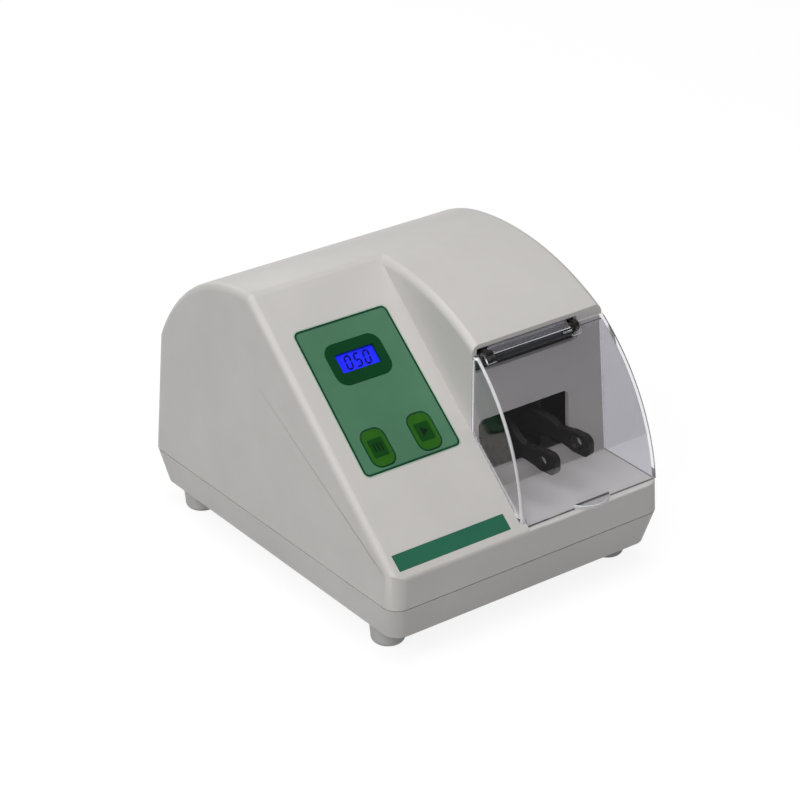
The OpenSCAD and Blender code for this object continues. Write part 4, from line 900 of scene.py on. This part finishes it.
coverShape = {
    "radius": 118.8, "centreY": 7.2, "centreZ": 42.1, "wall": 2.2, "sideGap": 0.6, "edgeRound": 1.5,
    "innerRound": 0.6, "floorGap": 0.3, "wallGap": 0.5,
    "hingeY": -65.7, "hingeDepth": 1.8, "knuckleRadius": 4.5, "knuckleLength": 53, "pin": 2,
    "earGap": 2.5, "ear": 3, "tabWidth": 25, "tabReach": 6.6, "tabThick": 2.6, "tabOff": 11, "tabLift": 0.2,
    "tabRound": 0.9, "tabInto": 1.2, "notchGap": 1.2, "pinGap": 0.05,
}
hingeZ = coverShape["centreZ"] + math.sqrt((coverShape["radius"] - coverShape["hingeDepth"]) ** 2
                                           - (coverShape["hingeY"] - coverShape["centreY"]) ** 2)
knuckleX0 = slotX0 + (slotShape["width"] - coverShape["knuckleLength"]) / 2
knuckleX1 = knuckleX0 + coverShape["knuckleLength"]


def coverOutline(t):
    c = coverShape
    radius = c["radius"] - t
    bottom = caseShape["frontEdge"] + (c["floorGap"] if t == 0 else -10)
    first = math.asin((bottom - c["centreZ"]) / radius)
    past = 0 if t == 0 else 20
    if t == 0:
        last = math.atan2(hingeZ - c["centreZ"], c["centreY"] - c["hingeY"])
        end = [(c["hingeY"], hingeZ), (wallY(hingeZ) - c["wallGap"], hingeZ)]
    else:
        last = math.acos((c["centreY"] - wallY(hingeZ) + c["wallGap"] - past) / radius)
        end = []
    steps = 72
    arc = [(c["centreY"] - radius * math.cos(first + (last - first) * k / steps),
            c["centreZ"] + radius * math.sin(first + (last - first) * k / steps)) for k in range(steps + 1)]
    return [(wallY(bottom) - c["wallGap"] + past, bottom)] + arc + end


def coverBlank(t, rounding):
    c = coverShape
    bm = prismAlongX(coverOutline(t), hoodLeftX(caseShape["seam"]) + t,
                     caseShape["halfWidth"] - c["sideGap"] - t)
    rim = [e for e in edgesNear(bm, lambda v: abs(math.hypot(v.y - c["centreY"], v.z - c["centreZ"])
                                                  - c["radius"] + t) < 0.01)
           if abs(e.verts[0].co.x - e.verts[1].co.x) < 0.01]
    bevelEdges(bm, rim, rounding, 4)
    bm.normal_update()
    for f in bm.faces if t == 0 else ():
        # the right pane takes a shaded copy of the clear finish: painted shade
        if f.normal.x > 0.97:
            f.material_index = 4
        # the bottom face takes a dark copy of the clear finish: painted shade
        elif f.normal.z < -0.99:
            f.material_index = 3
        # left rims take the bright copy of the clear finish as a painted highlight, right rims the dark copy as
        # painted shade
        elif 0.05 < abs(f.normal.x) < 0.97:
            f.material_index = 2 if f.calc_center_median().x < 40 else 3
    for v in bm.verts:
        side = 1 if v.co.x > 40 else -1
        v.co.x -= side * (v.co.z - caseShape["seam"]) * leanOf("sideLean")
    return bm


def buildKnuckle():
    # the knuckle ends at the cover's outer skin
    c = coverShape
    knuckle = rodAlongX(knuckleX0, knuckleX1, c["hingeY"], hingeZ, c["knuckleRadius"], 64)
    bevelEdges(knuckle, edgesNear(knuckle, lambda v: v.x < knuckleX0 + 0.01)
               + edgesNear(knuckle, lambda v: v.x > knuckleX1 - 0.01), 0.5, 3)
    radius = c["radius"] - 0.02
    angles = [math.radians(90 + 1.25 * k) for k in range(80)]
    arc = [(c["centreY"] + radius * math.cos(a), c["centreZ"] + radius * math.sin(a)) for a in angles]
    skin = prismAlongX(arc + [(0, 40), (60, 40)], knuckleX0 - 2, knuckleX1 + 2)
    knuckle = combine(knuckle, [skin], "INTERSECT")
    # the knuckle takes a darker copy of the clear finish: painted shade
    for f in knuckle.faces:
        f.material_index = 1
    return knuckle


def buildTab():
    # part of a round plate that reaches out of the cover's lower edge
    c = coverShape
    radius = ((c["tabWidth"] / 2) ** 2 + c["tabReach"] ** 2) / (2 * c["tabReach"])
    frontOfCover = c["centreY"] - math.sqrt(c["radius"] ** 2 - (caseShape["frontEdge"] - c["centreZ"]) ** 2)
    bottom = caseShape["frontEdge"] + c["floorGap"] + c["tabLift"]
    place = Matrix.Translation((windowShape["x"] + c["tabOff"], frontOfCover - c["tabReach"] + radius,
                                bottom + c["tabThick"] / 2))
    tab = rod(place, -c["tabThick"] / 2, c["tabThick"] / 2, radius, 96)
    bevelEdges(tab, edgesNear(tab, lambda v: abs(v.z - bottom) < 0.01)
               + edgesNear(tab, lambda v: v.z > bottom + c["tabThick"] - 0.1), c["tabRound"], 4)
    cutAway(tab, (0, frontOfCover + c["tabInto"], 0), (0, 1, 0))
    for f in tab.faces:
        # the tab's rim takes the bright copy of the clear finish: painted highlight
        f.material_index = 2 if abs(f.normal.z) < 0.95 else 0
    return tab


def buildCover():
    c = coverShape
    shell = combine(coverBlank(0, c["edgeRound"]), [coverBlank(c["wall"], c["innerRound"])], "DIFFERENCE")
    wedge = prismAlongX([(-200, slopeZ(-200, 0) + 0.3), (-200, -100), (100, -100), (100, slopeZ(100, 0) + 0.3)],
                        -60, caseShape["chamberX"] + 0.3)
    shell = combine(shell, [wedge], "DIFFERENCE")
    bead = rodAlongX(hoodLeftX(hingeZ) + 1, sideX(hingeZ) - c["sideGap"] - 1, c["hingeY"], hingeZ,
                     c["hingeDepth"] - 0.1, 24)
    shell = combine(shell, [bead, buildKnuckle(), buildTab()], "UNION")
    reach = c["earGap"] + c["ear"] + 0.3
    cuts = [rodAlongX(x0, x0 + reach, c["hingeY"], hingeZ, c["knuckleRadius"] + c["notchGap"])
            for x0 in (knuckleX0 - reach, knuckleX1)]
    cuts.append(rodAlongX(knuckleX0 - 1, knuckleX1 + 1, c["hingeY"], hingeZ, c["pin"] / 2 + c["pinGap"], 24))
    return combine(shell, cuts, "DIFFERENCE")


finishPiece(buildCover(), "cover_shell", "cover",
            ["clear", "clearShadedHinge", "clearLitRim", "clearShadedRim", "clearShadedSide"], ("clear_cover",), 38)
print("cover made")


# Front label, display, keys and strip

displayShape = {
    "width": 25.2, "length": 11.2, "up": 0.4, "depth": 6, "face": -1.4, "tall": 8.6, "wide": 4.4, "bar": 1.15,
    "gap": 0.12, "pitch": 6.0, "slant": 0.12, "digits": "050", "from": -8.2,
}
segmentsOf = {"0": "abcdef", "5": "acdfg"}


def buildLabel():
    l = labelShape
    bm = slab(labelCorners(0), l["radius"], -l["thickness"], 0)
    top = topFace(bm)
    insetFace(bm, top, 0.1, 0.05)
    insetFace(bm, top, l["rim"])
    line = insetFace(bm, top, l["outline"])
    for f in bm.faces:
        f.material_index = 1 if f in line else 0 if f == top else 2
    bmesh.ops.transform(bm, matrix=onSlope(0, 0), verts=bm.verts)
    cuts = [plate(rectangle(l["bezelWidth"] + 0.1, l["bezelLength"] + 0.1), l["bezelRadius"], -3, 3,
                  onSlope(bezelX, bezelS))]
    for x, s in keySpots:
        cuts.append(plate(rectangle(l["keyWidth"] + 0.6, l["keyLength"] + 0.6), l["keyRadius"] + 0.3, -3, 3,
                          onSlope(x, s)))
    return combine(bm, cuts, "DIFFERENCE")


finishPiece(buildLabel(), "front_label", "case", ["labelGreen", "labelDark", "labelPale"],
            ("panel_overlay",))


def buildBezel():
    l, d = labelShape, displayShape
    frameMesh = plate(rectangle(l["bezelWidth"], l["bezelLength"]), l["bezelRadius"] - 0.05,
                      -caseShape["wall"], 0.4, onSlope(bezelX, bezelS), 0.25)
    opening = plate(rectangle(d["width"], d["length"]), 0.6, -5, 3, onSlope(bezelX, bezelS + d["up"]),
                    segments=3)
    return combine(frameMesh, [opening], "DIFFERENCE")


finishPiece(buildBezel(), "display_bezel", "case", ["bezelGreen"], ("lcd_bezel",))


def buildDisplay():
    d = displayShape
    bottom = -caseShape["wall"] - d["depth"]
    body = plate(rectangle(d["width"] + 8, d["length"] + 12), 1.0, bottom, bottom + d["depth"],
                 onSlope(bezelX, bezelS + d["up"]))
    screen = plate(rectangle(d["width"] - 0.2, d["length"] - 0.2), 0.5, -caseShape["wall"] - 0.5, d["face"],
                   onSlope(bezelX, bezelS + d["up"]), 0.15, 3)
    return combine(body, [screen], "UNION")


finishPiece(buildDisplay(), "display_panel", "case", ["displayBlue"], ("lcd_module",))


def segmentCorners(kind):
    # a seven-segment bar as a hexagon in a digit whose lower left corner is 0, 0
    d = displayShape
    w, h, b, gap = d["wide"], d["tall"], d["bar"], d["gap"]
    flat = {"a": h - b / 2, "g": h / 2, "d": b / 2}
    if kind in flat:
        y = flat[kind]
        x0, x1 = b / 2 + gap, w - b / 2 - gap
        return [(x0, y), (x0 + b / 2, y - b / 2), (x1 - b / 2, y - b / 2), (x1, y), (x1 - b / 2, y + b / 2),
                (x0 + b / 2, y + b / 2)]
    x = b / 2 if kind in "ef" else w - b / 2
    y0, y1 = (b / 2 + gap, h / 2 - gap) if kind in "ce" else (h / 2 + gap, h - b / 2 - gap)
    return [(x, y0), (x + b / 2, y0 + b / 2), (x + b / 2, y1 - b / 2), (x, y1), (x - b / 2, y1 - b / 2),
            (x - b / 2, y0 + b / 2)]


def buildDigits():
    d = displayShape
    result = bmesh.new()
    for k, digit in enumerate(d["digits"]):
        for kind in segmentsOf[digit]:
            points = [(x + y * d["slant"] + d["from"] + k * d["pitch"], y - d["tall"] / 2)
                      for x, y in segmentCorners(kind)]
            place = onSlope(bezelX, bezelS + d["up"])
            addTo(result, plate(points, 0, d["face"] - 0.05, d["face"] + 0.04, place))
    return result


finishPiece(buildDigits(), "display_digits", "case", ["displayMark"])


keyShape = {
    "cap": 1.4, "pad": (9.4, 10.6), "padTop": 0.3, "rim": 0.5, "stem": 1.6, "stemBottom": -5.4, "markTop": 0.05,
}


def buildKey(x, s, marks):
    l, k = labelShape, keyShape
    result = bmesh.new()
    place = onSlope(x, s)
    cap = slab(rectangle(l["keyWidth"], l["keyLength"]), l["keyRadius"], -k["cap"], 0, 12)
    top = topFace(cap)
    dark = set(insetFace(cap, top, 0.15, 0.05) + insetFace(cap, top, k["rim"]))
    for f in cap.faces:
        f.material_index = 1 if f in dark else 0
    bmesh.ops.transform(cap, matrix=place, verts=cap.verts)
    addTo(result, cap)
    addTo(result, plate(rectangle(*k["pad"]), 0.6, 0.0, k["padTop"], place, 0.12, 3), 2)
    for corners in marks:
        addTo(result, plate(corners, 0, k["padTop"] - 0.03, k["padTop"] + k["markTop"], place), 3)
    addTo(result, rod(place, k["stemBottom"], 0.1 - k["cap"], k["stem"]), 0)
    return result


setMarks = [rectangle(0.9, 5.2, x, 0) for x in (-2.2, 0, 2.2)]
startMarks = [[(-1.9, -2.7), (2.7, 0), (-1.9, 2.7)]]
keyFinishes = ["keyGreen", "labelDark", "keyPad", "keyMark"]
for key, spot, marks in zip(("set_key", "start_key"), keySpots, (setMarks, startMarks)):
    finishPiece(buildKey(*spot, marks), key + "_cap", key, keyFinishes, (key,))

strip = plate(rectangle(stripShape["width"], stripShape["length"]), 0.3, -0.3, 0.1,
              onSlope(stripX, stripShape["s"]), 0.08, 2)
finishPiece(strip, "strip_plate", "case", ["stripTeal"], ("strip_label",))
print("front panel made")


# Mechanical parts with broken edges: node, piece, body, slot, width of the broken edge
softened = [
    ("feet", "foot_pads", "case", "foot_grey", 0.5),
    ("fork_arm_left", "fork_left", "arm", "arm_black", 0.45),
    ("fork_arm_right", "fork_right", "arm", "arm_black", 0.45),
    ("arm_hub", "arm_ring", "arm", "hub_alloy", 0.4),
    ("hinge_bracket", "hinge_carrier", "case", "black_plastic", 0.3),
    ("power_inlet", "mains_inlet", "case", "black_plastic", 0.35),
    ("rocker_bezel", "switch_frame", "case", "black_plastic", 0.35),
    ("power_rocker", "switch_rocker", "rocker", "rocker_red", 0.3),
    ("fuse_drawer", "fuse_tray", "drawer", "black_plastic", 0.25),
    ("torque_guide", "arm_guide", "case", "nylon_white", 0.4),
    ("motor_bracket", "motor_mount", "case", "steel", 0.3),
    ("motor_can", "motor_sleeve", "case", "steel", 0.3),
    ("relay", "relay_case", "case", "capacitor_sleeve", 0.4),
]
for row in softened:
    softenedCopy(*row)
print("mechanical parts softened:", len(softened))


# Stage, light and camera

stageShape = {"floorSize": 6.0, "floorColor": (243, 243, 243), "bounceColor": (160, 160, 160), "lift": 0.79,
              "white": 1.1}
lightShape = {
    "world": 0.05, "reflected": 0.2, "size": 1.6,
    "top": (21.0, (0, 0, 2.2)), "left": (13.3, (-1.6, 0, 1.6)), "frontLeft": (17.0, (-1.3, -1.3, 1.3)),
    "right": (2.0, (1.6, 0, 1.6)), "rear": (7.0, (0.5, 1.9, 0.9)), "aim": (0, 0, 0.08),
}


def buildFloor():
    floor = bmesh.new()
    bmesh.ops.create_grid(floor, x_segments=2, y_segments=2, size=stageShape["floorSize"])
    obj = linked("floor", meshFrom(floor, "floor"))
    material, tree, shader = startMaterial("paleFloor")
    light = feed(tree, addNode(tree, "Emission"), {"Strength": stageShape["white"]})
    rays = addNode(tree, "LightPath").outputs
    base = mixColors(tree, rays["Is Diffuse Ray"], tone(*stageShape["floorColor"]),
                     tone(*stageShape["bounceColor"]))
    feed(tree, shader, {"Base Color": base, "Roughness": 0.7})
    mirrored = addMath(tree, "MAXIMUM", rays["Is Glossy Ray"], rays["Is Transmission Ray"])
    seen = addMath(tree, "MAXIMUM", rays["Is Camera Ray"], mirrored)
    mixShaders(tree, addMath(tree, "MULTIPLY", seen, stageShape["lift"]), shader.outputs["BSDF"],
               light.outputs["Emission"], "Material Output")
    obj.data.materials.append(material)


def buildWorld():
    world = bpy.data.worlds.new("studio")
    bpy.context.scene.world = world
    world.use_nodes = True
    tree = world.node_tree
    plain = feed(tree, tree.nodes["Background"], {"Color": (1, 1, 1, 1), "Strength": lightShape["world"]})
    white = feed(tree, addNode(tree, "Background"), {"Color": (1, 1, 1, 1)})
    rays = addNode(tree, "LightPath").outputs
    direct = addRange(tree, rays["Glossy Depth"], 0, 1, 1, lightShape["reflected"])
    passed = addMath(tree, "MULTIPLY", rays["Is Transmission Ray"], direct)
    mixShaders(tree, addMath(tree, "MAXIMUM", rays["Is Camera Ray"], passed), plain.outputs["Background"],
               white.outputs["Background"], "World Output")


def addAreaLight(name, power, size, place):
    lamp = bpy.data.lights.new(name, "AREA")
    lamp.shape = "DISK"
    lamp.energy = power
    lamp.size = size
    obj = linked(name, lamp)
    obj.location = place
    aim = Vector(lightShape["aim"]) - Vector(place)
    obj.rotation_euler = aim.to_track_quat("-Z", "Y").to_euler()


cameraShape = {"lens": 123.097, "place": (-0.80852, -1.06690, 0.7793), "heading": -37.109, "tilt": 62.464,
               "roll": 0.235}


def buildCamera():
    c = cameraShape
    data = bpy.data.cameras.new("camera")
    data.lens = c["lens"]
    data.sensor_width = 36
    data.clip_end = 30
    obj = linked("camera", data)
    turns = ("heading", "Z"), ("tilt", "X"), ("roll", "Z")
    obj.matrix_world = Matrix.Translation(c["place"])
    for key, axis in turns:
        obj.matrix_world = obj.matrix_world @ Matrix.Rotation(math.radians(c[key]), 4, axis)
    bpy.context.scene.camera = obj


buildFloor()
buildWorld()
for lampName in ("top", "left", "frontLeft", "right", "rear"):
    power, place = lightShape[lampName]
    addAreaLight(lampName + "_light", power, lightShape["size"], place)
buildCamera()
bpy.context.scene.view_settings.view_transform = "Standard"
print("stage, light and camera set")
